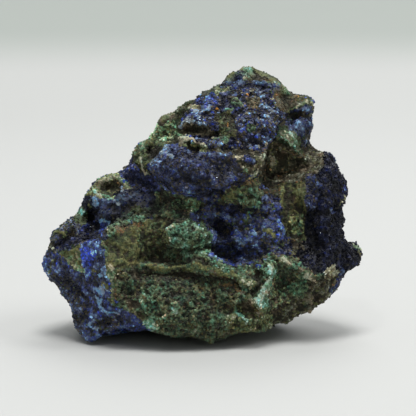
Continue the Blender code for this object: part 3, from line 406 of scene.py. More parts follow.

# Ridges, seams, cracks and flecks: (name, finish or None to leave the colour, half width in mm, rise in mm,
# points). A single point makes a round fleck. The dark strokes that sink the skin, named shade, slot, cleft,
# gap, notch and dark, are painted shade under lips and ledges and along the grooves they carve; the strokes
# named lit and glow are painted highlights.
STROKES = [
    ("knob_rim", "grey_green", 0.55, 0.35, [
        (-29.4, 37.6), (-27.4, 39), (-24.6, 39.9), (-21.6, 39.7), (-19.5, 37.6)]),
    ("knob_inner", "brown", 0.9, 0.5, [(-27, 38), (-24.6, 38.2), (-22.6, 38.6)]),
    ("knob_rib", "aqua", 0.38, 0.35, [(-28.7, 37), (-27.3, 36), (-25.5, 35.3), (-24.8, 35.2)]),
    ("knob_sky", "sky_blue", 0.5, 0.1, [(-28.4, 35.2), (-28, 34.2), (-27.6, 33)]),
    ("knob_frost", "frosty", 0.55, 0.2, [(-21.6, 37.6), (-20.8, 37)]),
    ("knob_steel", "frosty", 0.55, 0.2, [(-23.8, 34.2), (-22.6, 33.6)]),
    ("cavity_sky", "sky_blue", 0.7, 0.1, [(-26.4, 29.4), (-25.4, 28.8)]),
    ("knob_head", "worn", 1.7, 1.5, [(-12, 54.6), (-11, 55.2)]),
    ("knob_head_shade", "umber", 0.35, -0.5, [(-13.6, 53.2), (-11.6, 53.2), (-9.6, 54), (-8.8, 55.4)]),
    ("cavity_edge", "vivid_blue", 0.5, 0.1, [(-26.8, 26.4), (-26.2, 27.6), (-26, 28.6)]),
    ("left_lump_top", "aqua", 0.5, 0.1, [(-32, 31.6), (-31, 31.6)]),
    ("shoulder_olive", "olive", 0.5, 0.1, [(-38.6, 26.2), (-37, 26), (-36, 24.8)]),
    ("shoulder_line", "tan", 0.3, 0.2, [(-39.2, 23.6), (-38.6, 22.4), (-38.2, 21)]),
    ("left_end_line", "grey_green", 0.22, 0.15, [(-39.2, 19.6), (-39.4, 18), (-39.3, 16)]),
    ("seam", "sky_blue", 0.26, 0.2, [
        (-27.4, 10), (-27, 8.6), (-26.2, 7.3), (-25, 6.3), (-24, 6), (-23, 6)]),
    ("sky_patch", "sky_blue", 0.85, 0.1, [(-27, 12), (-26.4, 11.6), (-26, 12.4)]),
    ("sky_fleck", "sky_blue", 0.5, 0.1, [(-27.6, 15.6), (-26.8, 15.4)]),
    ("foot_ring", "sky_blue", 0.32, 0.1, [
        (-28.6, 4.8), (-29.6, 3.8), (-29.6, 2.8), (-28.6, 2.2), (-27.8, 1.8)]),
    ("foot_ring_in", "left_dark", 0.7, -0.2, [(-28, 3.4), (-26.4, 4), (-24.6, 4)]),
    ("olive_fleck", "olive", 0.55, 0.2, [(-28.8, 17.2), (-28.2, 16.6)]),
    ("olive_fleck_low", "ochre", 0.4, 0.1, [(-26.2, 13.6), (-25.6, 13.2)]),
    ("trim_tan", "rust", 0.35, 0.1, [(-23.4, 13), (-23.2, 11), (-23, 9.8)]),
    ("trim_cream", "cream", 0.35, 0.15, [(-24.2, 18), (-24, 16.8)]),
    ("trim_olive", "pale_olive", 0.6, 0.2, [(-24.6, 9.6), (-24, 9)]),
    ("trim_blue", "vivid_blue", 0.45, 0.1, [(-22.9, 9), (-22.4, 8.8)]),
    ("corner_edge", "grey_green", 0.45, 0.3, [(-26.6, 24.6), (-25.6, 22.6), (-25, 20)]),
    ("ridge_green", "pale_moss", 0.7, 0.3, [
        (-24.6, 26.4), (-22.4, 28.4), (-19.4, 29.6), (-16.4, 29.8)]),
    ("ridge_rust", "rust", 0.5, 0.1, [(-22.8, 27), (-20.8, 27.4), (-18.4, 28.6), (-16.6, 28.4)]),
    ("ridge_olive", "olive", 0.6, 0.3, [(-36.2, 20.8), (-34, 21.4), (-32, 22.8)]),
    ("cream_streak", "cream", 0.42, 0.45, [(-16.9, 44.4), (-16.4, 43), (-16.2, 41.8), (-15.4, 40.8)]),
    ("nook_line", None, 0.7, -0.6, [(-19, 39.8), (-16.4, 38.8), (-13.6, 38)]),
    ("slab_frost", "frosty", 0.45, 0.2, [(-14.2, 42.8), (-13, 44.6), (-11.6, 46)]),
    ("slab_notch", "night_druse", 0.8, -0.7, [(-9.4, 46.4), (-8.6, 46)]),
    ("slab_pale", "frosty", 0.6, 0.2, [(-10.4, 47.4), (-9.8, 46.4), (-9.4, 45.4)]),
    ("slab_fleck", "steel_blue", 0.8, 0.1, [(-8.8, 41.4), (-8.2, 40.8)]),
    ("slab_lit", "steel_blue", 0.45, 0.2, [(-1.8, 46.2), (1, 46.6), (5, 46.2), (6.6, 46.6)]),
    ("slab_vivid", "vivid_blue", 0.4, 0.1, [(-5.2, 36), (-4, 35.9), (-2.8, 35.8)]),
    ("slab_blue", "middle_blue", 0.9, 0.1, [(5.6, 39.4), (7, 38.6)]),
    ("slab_edge", "cream", 0.26, 0.3, [(11.9, 40.5), (12.6, 42), (13.4, 44), (14.2, 46)]),
    ("slab_end_blue", "middle_blue", 0.9, 0.1, [(9.8, 45), (11.2, 44.4)]),
    ("slab_end_tan", "tan", 0.6, 0.2, [(6.4, 45.2), (7.6, 45.2)]),
    ("slab_end_green", "pale_moss", 0.6, 0.1, [(8.6, 42.8), (9.4, 42)]),
    ("slab_split", None, 0.35, -0.5, [(2, 45.8), (2.4, 43), (2, 41), (3, 38)]),
    ("slab_split_left", None, 0.3, -0.4, [(-5.4, 46), (-6, 43), (-9.6, 40.6)]),
    ("plate_cream", "cream", 0.5, 0.3, [(-6.6, 50.2), (-5.4, 50.4), (-4.2, 50.4)]),
    ("plate_tip", "tan", 0.5, 0.2, [(-6.7, 49.6), (-6.6, 48.4)]),
    ("plate_line", "tan", 0.26, 0.3, [(-4, 49.8), (-3, 48.8), (-1.2, 47.8), (0.8, 46.9), (1.8, 46.6)]),
    ("plate_shade", "umber", 0.5, -0.5, [(1, 46.9), (5, 46.9), (9, 46.7), (12.6, 46.4)]),
    ("lip_frost", "frosty", 0.42, 0.35, [(-6.6, 53.2), (-5.6, 54), (-4, 54.3), (-2.4, 54), (-1.2, 53)]),
    ("lip_shade", "umber", 0.8, -0.5, [(-5.6, 52.8), (-3.6, 52.6), (-1, 52.2)]),
    ("block_vivid", "vivid_blue", 0.7, 0.2, [(-2.2, 59.4), (-0.4, 59.6), (1.2, 59.4)]),
    ("block_vivid_low", "vivid_blue", 0.35, 0.1, [(-0.8, 58.2), (0.6, 58.4)]),
    ("block_vivid_right", "vivid_blue", 0.6, 0.2, [(7.2, 57.4), (7.8, 57.1)]),
    ("block_vivid_big", "vivid_blue", 0.8, 0.3, [(8.6, 52), (9.4, 52.2)]),
    ("block_royal", "middle_blue", 0.9, 0.2, [(3.4, 60.6), (5, 60.8), (6.8, 61.4)]),
    ("block_green_fleck", "boss", 0.3, 0.2, [(4, 56.9), (5, 57.1), (6, 56.9)]),
    ("block_green_knob", "pale_moss", 0.8, 0.4, [(10.4, 53), (11.2, 52.6)]),
    ("block_green_top", "deep_green", 0.9, 0.3, [(6.6, 59.4), (7.4, 58.8)]),
    ("block_green_low", "deep_green", 0.8, 0.1, [(2, 50.6), (3.4, 50.4), (4.4, 49.6)]),
    ("block_arc", "frosty", 0.3, 0.3, [(11.2, 61.9), (12.4, 61.6), (13.4, 60.8), (13.7, 60)]),
    ("block_arc_in", "tan", 0.35, 0.2, [(10.2, 61), (11, 62), (11.6, 61.4)]),
    ("block_slate", "frosty", 0.6, 0.2, [(13.4, 58.4), (15, 57.6), (16, 56.6)]),
    ("block_slate_low", "steel_blue", 0.5, 0.2, [(15, 49.8), (14.4, 50.4)]),
    ("fleck_orange", "orange", 0.22, 0.1, [(10.2, 60.8), (10.5, 60.9)]),
    ("fleck_orange_left", "orange", 0.18, 0.1, [(1.6, 57.6), (2.3, 57.4)]),
    ("fleck_orange_low", "orange", 0.24, 0.1, [(5, 53.3)]),
    ("fleck_rust", "rust", 0.3, 0.1, [(9.8, 54.4)]),
    ("peak_rim", "olive", 0.6, 0.2, [
        (5, 65.4), (7.4, 67.4), (8.6, 68), (11, 67.5), (14, 66.4), (16.6, 65), (19.2, 62.2)]),
    ("peak_green", "pale_moss", 0.45, 0.1, [(8.8, 67.2), (10.2, 66.6), (10.6, 65.6), (9.6, 64.8)]),
    ("peak_brown", "rust", 0.35, 0.1, [(13.6, 66.4), (15, 65.8)]),
    ("peak_frost", "steel_blue", 0.4, 0.2, [(4.4, 63.6), (5.8, 64), (8, 64)]),
    ("peak_sky", "steel_blue", 0.55, 0.2, [(11.6, 63.8), (13, 63.4), (14.4, 63.8)]),
    ("peak_green_band", "boss", 0.4, 0.1, [(15, 64), (16.6, 63.8)]),
    ("peak_edge", "grey_green", 0.4, 0.1, [(17.6, 64.2), (19, 62.4), (20, 61)]),
    ("corner_ridge", "pale_olive", 0.35, 0.3, [(20, 56.4), (22, 57.7), (24.6, 59)]),
    ("corner_rim", "ochre", 0.5, 0.1, [(25.6, 60), (26.4, 59.4), (26, 57.8)]),
    ("corner_frost", "steel_blue", 0.6, 0.2, [(23.6, 57.2), (24.8, 57)]),
    ("corner_cleft", "umber", 0.4, -0.5, [(20.6, 55.4), (23, 55.6), (25.8, 55.8)]),
    ("corner_sky", "steel_blue", 0.5, 0.2, [(20.2, 53.4), (20.8, 52.2)]),
    ("corner_glow", "steel_blue", 0.8, 0.2, [(22.4, 53.6), (23.6, 52.6)]),
    ("flap_stria_1", "aqua", 0.2, 0.2, [(19, 52.4), (20.8, 50.6), (22.4, 48)]),
    ("flap_stria_2", "tan", 0.2, -0.25, [(18.4, 51.8), (20.2, 50), (22, 47.6)]),
    ("flap_stria_3", "boss", 0.2, 0.2, [(18, 51), (19.6, 49.6), (21.6, 47.2)]),
    ("recess_fill", None, 1.7, 1.3, [(16.8, 44.6), (18.4, 44.2), (20.2, 43.8)]),
    ("recess_crest", "tan", 0.4, 0.3, [(20, 40.2), (23, 41.2), (26, 42.6), (28.6, 44.6)]),
    ("recess_low", "tan", 0.35, 0.2, [(16.6, 38.8), (19.6, 39.6), (22, 39.8)]),
    ("wall_vivid", "vivid_blue", 0.45, 0.1, [(33.8, 37.8), (34.2, 37)]),
    ("wall_olive", "pale_olive", 0.45, 0.1, [(34.6, 35.8), (34, 34.6), (33.2, 33.4)]),
    ("wall_steel", "steel_blue", 0.4, 0.1, [(31, 31.8), (31.4, 31.4)]),
    ("wall_top", "slab_druse", 0.7, 0.2, [(29.2, 48), (30.4, 47.2), (31.8, 45.6)]),
    ("spur_tip", "grey_green", 0.6, 0.2, [(36.9, 23.4), (38, 22), (39, 20.4)]),
    ("strip_lit", "ochre", 0.6, 0.2, [(18.2, 37.4), (18.4, 35.8), (18.4, 34)]),
    ("strip_lit_right", "ochre", 0.6, 0.2, [(20.6, 37.8), (21.4, 36.6), (21.8, 34.6)]),
    ("strip_shade", "umber", 0.3, -0.4, [(19.6, 36.6), (19.6, 33), (19.6, 29.4)]),
    ("strip_stripes", "umber", 0.22, -0.3, [(22, 25), (23, 23.6), (24.2, 22)]),
    ("strip_fern", "pale_moss", 0.5, 0.3, [(22.8, 29.4), (23.4, 27.6), (22.6, 26)]),
    ("lump_edge", "boss", 0.4, 0.2, [(10.6, 36.8), (12, 35.4), (13.4, 34.4)]),
    ("lump_ochre", "ochre", 0.6, 0.1, [(4, 35.2), (5.6, 35.4), (7.4, 33.8)]),
    ("lump_gap", "night_druse", 0.4, -0.3, [(7.6, 33), (9.4, 32), (12.6, 32.6)]),
    ("middle_vivid_right", "vivid_blue", 0.5, 0.1, [(17.4, 31), (18.4, 28.4), (18.9, 26), (18.6, 25)]),
    ("middle_vivid", "vivid_blue", 0.7, 0.2, [(6, 26), (7.4, 26.6), (8.4, 25.4)]),
    ("middle_vivid_low", "vivid_blue", 0.5, 0.2, [(4, 19.4), (5.6, 18.6), (7.2, 18), (8, 18.4)]),
    ("middle_sky", "sky_blue", 0.45, 0.1, [(11.4, 26.4), (12.4, 25.8)]),
    ("middle_sky_low", "sky_blue", 0.35, 0.1, [(8.2, 24), (8.6, 23.6)]),
    ("middle_steel", "steel_blue", 0.5, 0.2, [(13.6, 28.4), (14.4, 27)]),
    ("middle_steel_high", "steel_blue", 0.45, 0.1, [(14.8, 29.6), (15, 28.2)]),
    ("middle_green", "olive", 0.5, 0.1, [(8, 30), (9.4, 29.6), (10, 31)]),
    ("middle_olive", "olive", 0.5, 0.1, [(14, 26.8), (15.4, 27), (16, 25.8)]),
    ("middle_tan", "grey_green", 0.5, 0.1, [(17.4, 24.2), (18.8, 23.4)]),
    ("middle_rock", "brown", 0.9, 0.1, [(21.6, 24.4), (22, 22.6), (21, 21.6)]),
    ("middle_low_green", "pale_moss", 1.0, 0.1, [(7.6, 17), (9.6, 16.6), (12.6, 18)]),
    ("middle_gap", None, 0.8, -0.6, [(1, 28), (3.4, 27), (4.4, 26.2)]),
    ("boss_cleft", "deep_green", 0.4, -0.5, [(-4.8, 29.8), (-4.4, 27.6), (-5, 25.8)]),
    ("boss_edge", "aqua", 0.4, 0.2, [(-10.6, 27), (-9.4, 28), (-8, 28.2)]),
    ("strand", "boss", 0.9, 0.3, [
        (-6, 22.6), (-4, 21), (-1.4, 20.6), (1.6, 19.4), (4.6, 17.4), (6.8, 15.8)]),
    ("strand_shade", "dark_moss", 0.5, -0.4, [(-5, 19.6), (-1.4, 19.4), (1.6, 18.4)]),
    ("slot", "umber", 0.7, -0.5, [(-14.6, 19.5), (-12.4, 19.4), (-9.8, 19.6)]),
    ("ledge", "ochre", 0.55, 0.5, [
        (-14.9, 18.2), (-11, 17.6), (-6, 17.6), (-1.4, 18), (2, 17.2), (5, 16.2), (8, 14.8),
        (10, 13.8)]),
    ("ledge_rust", "rust", 0.3, 0.1, [(0, 17), (2.6, 16.2), (5.4, 15)]),
    ("ledge_shade", "umber", 0.45, -0.5, [
        (-14.4, 16.2), (-11, 16), (-5, 16.2), (0, 15.8), (4, 14.8), (7.4, 13.4)]),
    ("ledge_end", "pale_olive", 0.7, 0.2, [(8, 15.4), (10, 14), (12.6, 13)]),
    ("lower_fern", "boss", 0.4, 0.2, [(-17, 13), (-15, 10.4), (-13.6, 8.6)]),
    ("lower_fleck_1", "aqua", 0.5, 0.2, [(-8.4, 6.6), (-7.2, 6), (-6.8, 5.4)]),
    ("lower_fleck_2", "boss", 0.5, 0.2, [(-13.8, 10.2), (-13, 9.4)]),
    ("lower_fleck_3", "boss", 0.5, 0.2, [(-12.2, 12.2), (-11.4, 11.8)]),
    ("lower_tan", "grey_green", 0.7, 0.2, [(-5.4, 4), (-4, 2.6), (-2.6, 1.6)]),
    ("lower_tan_left", "grey_green", 0.5, 0.2, [(-18.6, 6.6), (-17, 6), (-15.8, 5.4)]),
    ("lower_dark_1", "umber", 0.9, -0.4, [(-19, 16.8), (-18, 15.6)]),
    ("lower_dark_2", "umber", 0.9, -0.4, [(-19.6, 9), (-18, 8.4)]),
    ("lower_pale_right", "aqua", 0.45, 0.3, [(6.6, 7.4), (8, 5.6), (8.8, 4.2), (9.6, 3.4)]),
    ("lower_pale_mid", "boss", 0.5, 0.2, [(1.2, 5.8), (1.6, 4.4), (3.4, 5.4)]),
    ("lower_rust", "rust", 0.6, 0.1, [(3, 13.4), (6, 12.6), (8.6, 11.6)]),
    ("lower_green_right", "boss", 0.7, 0.2, [(9.6, 12.6), (11, 12)]),
    ("lower_pale_foot", "pale_olive", 0.7, 0.2, [(12.6, 5.6), (14, 4.4), (15.6, 3.6)]),
    ("lower_rust_foot", "rust", 0.6, 0.1, [(12, 6.6), (13, 6)]),
    ("rib", "aqua", 0.85, 0.8, [(15.9, 17.6), (15.7, 15.6), (15, 13.8), (14.2, 12)]),
    ("rib_foot", "aqua", 1.2, 0.6, [(13.8, 11), (13.2, 9.8), (14, 9)]),
    ("rib_side", "boss", 0.5, 0.3, [(13, 18), (14.2, 16.8), (15.2, 15.8)]),
    ("rib_shade", "umber", 0.6, -0.4, [(12.2, 16), (12.8, 14), (12, 12)]),
    ("lip", "pale_moss", 1.0, 0.2, [(15.4, 20.4), (18, 19.4), (21, 18.2), (23.6, 16.4), (25, 15.4)]),
    ("lip_tan", "cream", 0.7, 0.2, [(19, 19.2), (19.6, 18.4)]),
    ("lip_tan_right", "cream", 0.75, 0.2, [(25, 15.2), (26.2, 14.8)]),
    ("lip_tan_left", "tan", 0.5, 0.1, [(14.2, 20.2), (15, 19.8)]),
    ("lip_brown", "rust", 0.5, 0.1, [(22.4, 17.4), (23.6, 17)]),
    ("keel_line", "brown", 0.4, 0.3, [(25.4, 10.6), (26, 8.6)]),
    ("keel_blue", "middle_blue", 0.7, 0.2, [(33, 17), (33.2, 15), (32.4, 13), (31, 11.6)]),
    ("keel_rust", "rust", 0.35, 0.2, [(31.6, 15.4), (32, 14), (31.8, 12.6)]),
]

# Crystals whose flat face throws the lamp's light at the viewer: (across, up, width in mm).
GLINTS = [
    (-2.0, 54.5, 0.26), (-1.0, 53.6, 0.22), (0.5, 48.3, 0.22), (13.2, 54.2, 0.28), (17.0, 53.4, 0.22),
    (14.0, 52.0, 0.2), (10.0, 48.5, 0.2), (-19.7, 42.3, 0.26), (2.2, 40.0, 0.22), (-29.4, 27.7, 0.26),
    (32.0, 39.2, 0.18), (33.3, 37.3, 0.16), (28.1, 26.2, 0.22), (31.2, 32.0, 0.2), (12.2, 26.2, 0.2),
    (-16.8, 37.2, 0.2), (-6.6, 43.0, 0.2), (30.6, 22.2, 0.2), (16.4, 57.4, 0.2),
]


# ---------------------------------------------------------------- where things show

TOWARDS = np.array((0.0, -cos(EYE_RISE), sin(EYE_RISE)))
UPWARDS = np.array((0.0, sin(EYE_RISE), cos(EYE_RISE)))
RIGHTWARDS = np.array((1.0, 0.0, 0.0))
MIDDLE = np.array((0.0, 0.0, MIDDLE_UP / cos(EYE_RISE)))
EYE = MIDDLE + TOWARDS * EYE_AWAY
CLEAR = 0.15 * MM  # how far off the skin a line of sight starts


def in_stone(point):
    """A point of the viewer's frame, in mm, as metres in the stone's own frame."""
    return (Vector(point) + STONE_SHIFT) * MM


def shown_at(points):
    """(across, up, near) in mm of points in metres, as they show to the viewer."""
    placed = points / MM - np.array(STONE_SHIFT)
    near = (placed - MIDDLE) @ TOWARDS
    flat = EYE + (placed - EYE) * (EYE_AWAY / (EYE_AWAY - near))[:, None]
    return np.stack(((flat - MIDDLE) @ RIGHTWARDS, (flat - MIDDLE) @ UPWARDS + MIDDLE_UP, near), axis=1)


def facing_eye(points, normals, tree):
    """Which points the viewer sees, given the stone's tree of faces."""
    eye = in_stone(EYE)
    seen = np.zeros(len(points), bool)
    for number, (point, normal) in enumerate(zip(points, normals)):
        start = Vector(point) + Vector(normal) * CLEAR
        away = eye - start
        if away.dot(Vector(normal)) > 0:
            seen[number] = tree.ray_cast(start, away.normalized())[0] is None
    return seen


def inside(spots, outline):
    """Whether each (across, up) lies in the outline."""
    across, up = spots[:, 0], spots[:, 1]
    found = np.zeros(len(spots), bool)
    for (x0, y0), (x1, y1) in zip(outline, outline[1:] + outline[:1]):
        if y0 != y1:
            crossed = (y0 > up) != (y1 > up)
            found ^= crossed & (across < (x1 - x0) * (up - y0) / (y1 - y0) + x0)
    return found


def off_line(spots, line):
    """Each spot's distance from a line of points."""
    ends = line[1:] or line
    away = np.full(len(spots), np.inf)
    for start, end in zip(line, ends):
        start, run = np.array(start, float), np.array(end, float) - np.array(start, float)
        along = np.clip((spots - start) @ run / max(run @ run, 1e-9), 0, 1)
        away = np.minimum(away, np.linalg.norm(spots - start - along[:, None] * run, axis=1))
    return away


# ---------------------------------------------------------------- painting the stone

FINISH_NAMES = list(FINISHES)
EDGE_WARPS = ((3.2 * MM, 0.95), (1.1 * MM, 0.45))  # noise size, and how far it moves an edge in mm
PATCHES = ((3.0 * MM, 0.7), (1.2 * MM, 1.0), (0.6 * MM, 0.9))  # patch sizes with their shares
WARMTH = ((2.2 * MM, 0.45), (0.7 * MM, 0.45))  # noise size, and how far it turns a colour warm or cool
WARM_TINT = np.array((1, -0.25, -0.6))  # what warmth adds to red, green and blue
WARMTH_OF = {"crystal": 0.25, "tuft": 1.0, "grain": 0.4}
TONE_JITTER, JITTER_LIMIT = 0.1, 2
HOLLOW_SHADE_SHARE = 0.55  # how far a colour goes by standing proud rather than by patches: painted shade in hollows and painted highlight on what stands proud
FACING = 0.12  # ridges and cracks show only on skin turned this much towards the viewer
SHOULDER = 1.35  # a ridge's full width over its coloured width

# The back's finishes, each with the share of the back that it and those before it cover.
BACK_ZONES = [("night_druse", 0.2), ("block_druse", 0.4), ("shade_mix", 0.5), ("moss", 0.62),
              ("pale_moss", 0.68), ("olive_dark", 0.82), ("olive", 0.9), ("brown_grey", 1.0)]
BACK_ZONE_SIZE = 11 * MM
BACK_ZONE_FRAY = 0.35  # share of a finer noise that frays the zones' edges
BACK_EDGE_SIZE = 5 * MM


def wander(points, size):
    """Three smooth noises at each point, in metres, that change over about size."""
    return np.array([noise.noise_vector(Vector(point) / size) for point in points])


def ranked(values):
    """Values spread evenly over 0 to 1, in the same order."""
    order = np.empty(len(values))
    order[np.argsort(values)] = np.arange(len(values))
    return (order + 0.5) / max(len(values), 1)


def of_finishes(field, finish):
    """One field of each point's finish."""
    return np.array([getattr(FINISHES[name], field) for name in FINISH_NAMES])[finish]


def painted(points, normals, seen):
    """Each point's finish, as a number of FINISH_NAMES, its tone, and how far a ridge or crack moves it,
    in mm."""
    shown = shown_at(points)
    for size, reach in EDGE_WARPS:
        shown[:, :2] += wander(points, size)[:, :2] * reach
    fray = BACK_ZONE_FRAY * wander(points, BACK_ZONE_SIZE / 4)[:, 1]
    zone = ranked(wander(points, BACK_ZONE_SIZE)[:, 0] + fray)
    finish, tone = np.zeros(len(points), int), np.ones(len(points))
    for name, limit in reversed(BACK_ZONES):
        finish[zone < limit] = FINISH_NAMES.index(name)
    ragged = wander(points, BACK_EDGE_SIZE)[:, 2] * BACK_BLEND
    front = seen | (shown[:, 2] + ragged > BACK_FROM) | (shown[:, 1] > PEAK_FROM)
    # Each area's tone carries its own colour together with painted light and shade.
    for _, name, shade, outline in AREAS:
        within = front & inside(shown[:, :2], outline)
        finish[within], tone[within] = FINISH_NAMES.index(name), shade
    rise = np.zeros(len(points))
    turned = front & (normals @ TOWARDS > FACING)
    for _, name, half_width, height, line in STROKES:
        away = off_line(shown[:, :2], line)
        near_by = turned & (away < half_width)
        if name:
            finish[near_by], tone[near_by] = FINISH_NAMES.index(name), 1.0
        slope = np.clip(1 - (away / (half_width * SHOULDER)) ** 2, 0, 1)
        rise = np.where(turned & (slope > 0), rise + slope * height, rise)
    return finish, tone, rise


def picked_colours(points, finish, tone, proud, scatter, draws):
    """A linear colour for each point, drawn from its finish's mix: painted darker in hollows and lighter on
    what stands proud, as painted shade and highlight, and in patches."""
    colours = bpy.context.scene.specimen_colours
    patchy = ranked(sum(share * wander(points, size)[:, 0] for size, share in PATCHES))
    # Painted shade and highlight: the colour rank follows how proud a point stands, darker in hollows and
    # lighter on ridges.
    patchy = (1 - HOLLOW_SHADE_SHARE) * patchy + HOLLOW_SHADE_SHARE * ranked(proud)
    score = (1 - scatter) * patchy + scatter * draws.random(len(points))
    result = np.zeros((len(points), 3))
    for number, name in enumerate(FINISH_NAMES):
        chosen = np.flatnonzero(finish == number)
        if len(chosen):
            mix = FINISHES[name].mix
            table = np.array([list(getattr(colours, key)) for key in mix])
            limits = np.cumsum(list(mix.values())) / sum(mix.values())
            result[chosen] = table[np.searchsorted(limits, ranked(score[chosen]))]
    reach = np.array([WARMTH_OF[growth] for growth in of_finishes("growth", finish)])
    warm = reach * sum(share * wander(points, size)[:, 1] for size, share in WARMTH)
    result *= 1 + warm[:, None] * WARM_TINT
    jitter = draws.standard_normal((len(points), 1)).clip(-JITTER_LIMIT, JITTER_LIMIT)
    return result * tone[:, None] * (1 + TONE_JITTER * jitter)


# ---------------------------------------------------------------- mesh helpers

WEIGHT_STEPS = 64


def pick(piece):
    """Selects one object alone and makes it the active one."""
    bpy.ops.object.select_all(action="DESELECT")
    piece.select_set(True)
    bpy.context.view_layer.objects.active = piece


def apply_modifier(piece, kind, **settings):
    """Adds a modifier with its settings and applies it."""
    pick(piece)
    modifier = piece.modifiers.new(kind, kind)
    for key, value in settings.items():
        setattr(modifier, key, value)
    bpy.ops.object.modifier_apply(modifier=modifier.name)


def vertex_arrays(mesh):
    """A mesh's points and normals."""
    points = np.zeros(len(mesh.vertices) * 3)
    normals = np.zeros(len(mesh.vertices) * 3)
    mesh.vertices.foreach_get("co", points)
    mesh.vertex_normals.foreach_get("vector", normals)
    return points.reshape(-1, 3), normals.reshape(-1, 3)


def give_tint(mesh, tint):
    """Stores a colour for each point, which the materials read."""
    attribute = mesh.color_attributes.new("tint", "FLOAT_COLOR", "POINT")
    attribute.data.foreach_set("color", np.column_stack((tint.clip(0, 1), np.ones(len(tint)))).ravel())


def weigh(piece, name, weights):
    """A vertex group with a weight for each point."""
    group = piece.vertex_groups.new(name=name)
    steps = np.round(np.clip(weights, 0, 1) * WEIGHT_STEPS).astype(int)
    for step in range(1, WEIGHT_STEPS + 1):
        chosen = np.flatnonzero(steps == step).tolist()
        if chosen:
            group.add(chosen, step / WEIGHT_STEPS, "REPLACE")


def store(mesh, name, values):
    """Keeps a number for each point of a mesh."""
    mesh.attributes.new(name, "FLOAT", "POINT").data.foreach_set("value", np.asarray(values, float))


def stored(mesh, name):
    """The numbers that store kept, one for each point."""
    values = np.zeros(len(mesh.vertices))
    mesh.attributes[name].data.foreach_get("value", values)
    return values


def tree_of(mesh):
    """A mesh's faces, ready for lines of sight to be cast at them."""
    return BVHTree.FromPolygons([v.co for v in mesh.vertices], [p.vertices for p in mesh.polygons])


# ---------------------------------------------------------------- materials

class Mineral(NamedTuple):
    """A mineral's surface: roughness, specular level, the size of its mottling, its pits' size and depth, and
    its velvety sheen."""
    roughness: float
    specular: float
    mottle: float
    pit_size: float
    pit_depth: float
    sheen: float = 0.0


MINERALS = {
    "azurite_ground": Mineral(0.65, 0.3, 1.2 * MM, 0.35 * MM, 0.25 * MM),
    "malachite_ground": Mineral(0.7, 0.3, 0.9 * MM, 0.3 * MM, 0.3 * MM, sheen=0.1),
    "limonite_ground": Mineral(0.85, 0.2, 0.8 * MM, 0.3 * MM, 0.35 * MM),
    "azurite_crystal": Mineral(0.38, 0.13, 0.7 * MM, 0.5 * MM, 0.04 * MM),
    "malachite_tuft": Mineral(0.65, 0.35, 0.6 * MM, 0.3 * MM, 0.1 * MM, sheen=0.15),
    "limonite_grain": Mineral(0.85, 0.2, 0.6 * MM, 0.3 * MM, 0.1 * MM),
    "azurite_glint": Mineral(0.16, 1.0, 1 * MM, 1 * MM, 0.0),
}
SHEEN_ROUGHNESS = 0.4
MOTTLE_DETAIL, PIT_DETAIL = 4.0, 3.0
MOTTLE_FROM = (0.3, 0.7)  # the noise's usual range
MOTTLE_SHADES = (0.62, 1.38)  # how far it darkens and lightens the tint
MOTTLE_POLISH = (0.6, 1.4)  # how far it changes the roughness
PIT_STRENGTH = 0.6
PAPER_ROUGHNESS, PAPER_SPECULAR = 0.9, 0.1


def new_material(name):
    """A material with its nodes, its links and its shader."""
    material = bpy.data.materials.new(name)
    material.use_nodes = True
    nodes = material.node_tree.nodes
    return material, nodes, material.node_tree.links, nodes["Principled BSDF"]


def map_range(nodes, **ends):
    """A node that maps a value between two ranges: from_min, from_max, to_min and to_max."""
    node = nodes.new("ShaderNodeMapRange")
    for end, value in ends.items():
        node.inputs[end.replace("_", " ").title()].default_value = value
    return node


def mineral_material(name):
    """A mineral that takes its colour from its tint, mottled and roughened by noise."""
    mineral = MINERALS[name]
    material, nodes, links, shader = new_material(name)
    shader.inputs["Specular IOR Level"].default_value = mineral.specular
    shader.inputs["Sheen Weight"].default_value = mineral.sheen
    shader.inputs["Sheen Roughness"].default_value = SHEEN_ROUGHNESS
    tint = nodes.new("ShaderNodeAttribute")
    tint.attribute_name = "tint"
    where = nodes.new("ShaderNodeTexCoord")

    mottle = nodes.new("ShaderNodeTexNoise")
    mottle.inputs["Scale"].default_value = 1 / mineral.mottle
    mottle.inputs["Detail"].default_value = MOTTLE_DETAIL
    links.new(where.outputs["Object"], mottle.inputs["Vector"])
    grade = map_range(nodes, from_min=MOTTLE_FROM[0], from_max=MOTTLE_FROM[1],
                      to_min=MOTTLE_SHADES[0], to_max=MOTTLE_SHADES[1])
    links.new(mottle.outputs["Fac"], grade.inputs["Value"])
    shade = nodes.new("ShaderNodeVectorMath")
    shade.operation = "SCALE"
    links.new(tint.outputs["Color"], shade.inputs[0])
    links.new(grade.outputs["Result"], shade.inputs["Scale"])
    links.new(shade.outputs["Vector"], shader.inputs["Base Color"])

    polish = map_range(nodes, to_min=mineral.roughness * MOTTLE_POLISH[0],
                       to_max=min(1.0, mineral.roughness * MOTTLE_POLISH[1]))
    links.new(mottle.outputs["Fac"], polish.inputs["Value"])
    links.new(polish.outputs["Result"], shader.inputs["Roughness"])

    pits = nodes.new("ShaderNodeTexNoise")
    pits.inputs["Scale"].default_value = 1 / mineral.pit_size
    pits.inputs["Detail"].default_value = PIT_DETAIL
    links.new(where.outputs["Object"], pits.inputs["Vector"])
    bump = nodes.new("ShaderNodeBump")
    bump.inputs["Strength"].default_value = PIT_STRENGTH
    bump.inputs["Distance"].default_value = mineral.pit_depth
    links.new(pits.outputs["Fac"], bump.inputs["Height"])
    links.new(bump.outputs["Normal"], shader.inputs["Normal"])
    return material


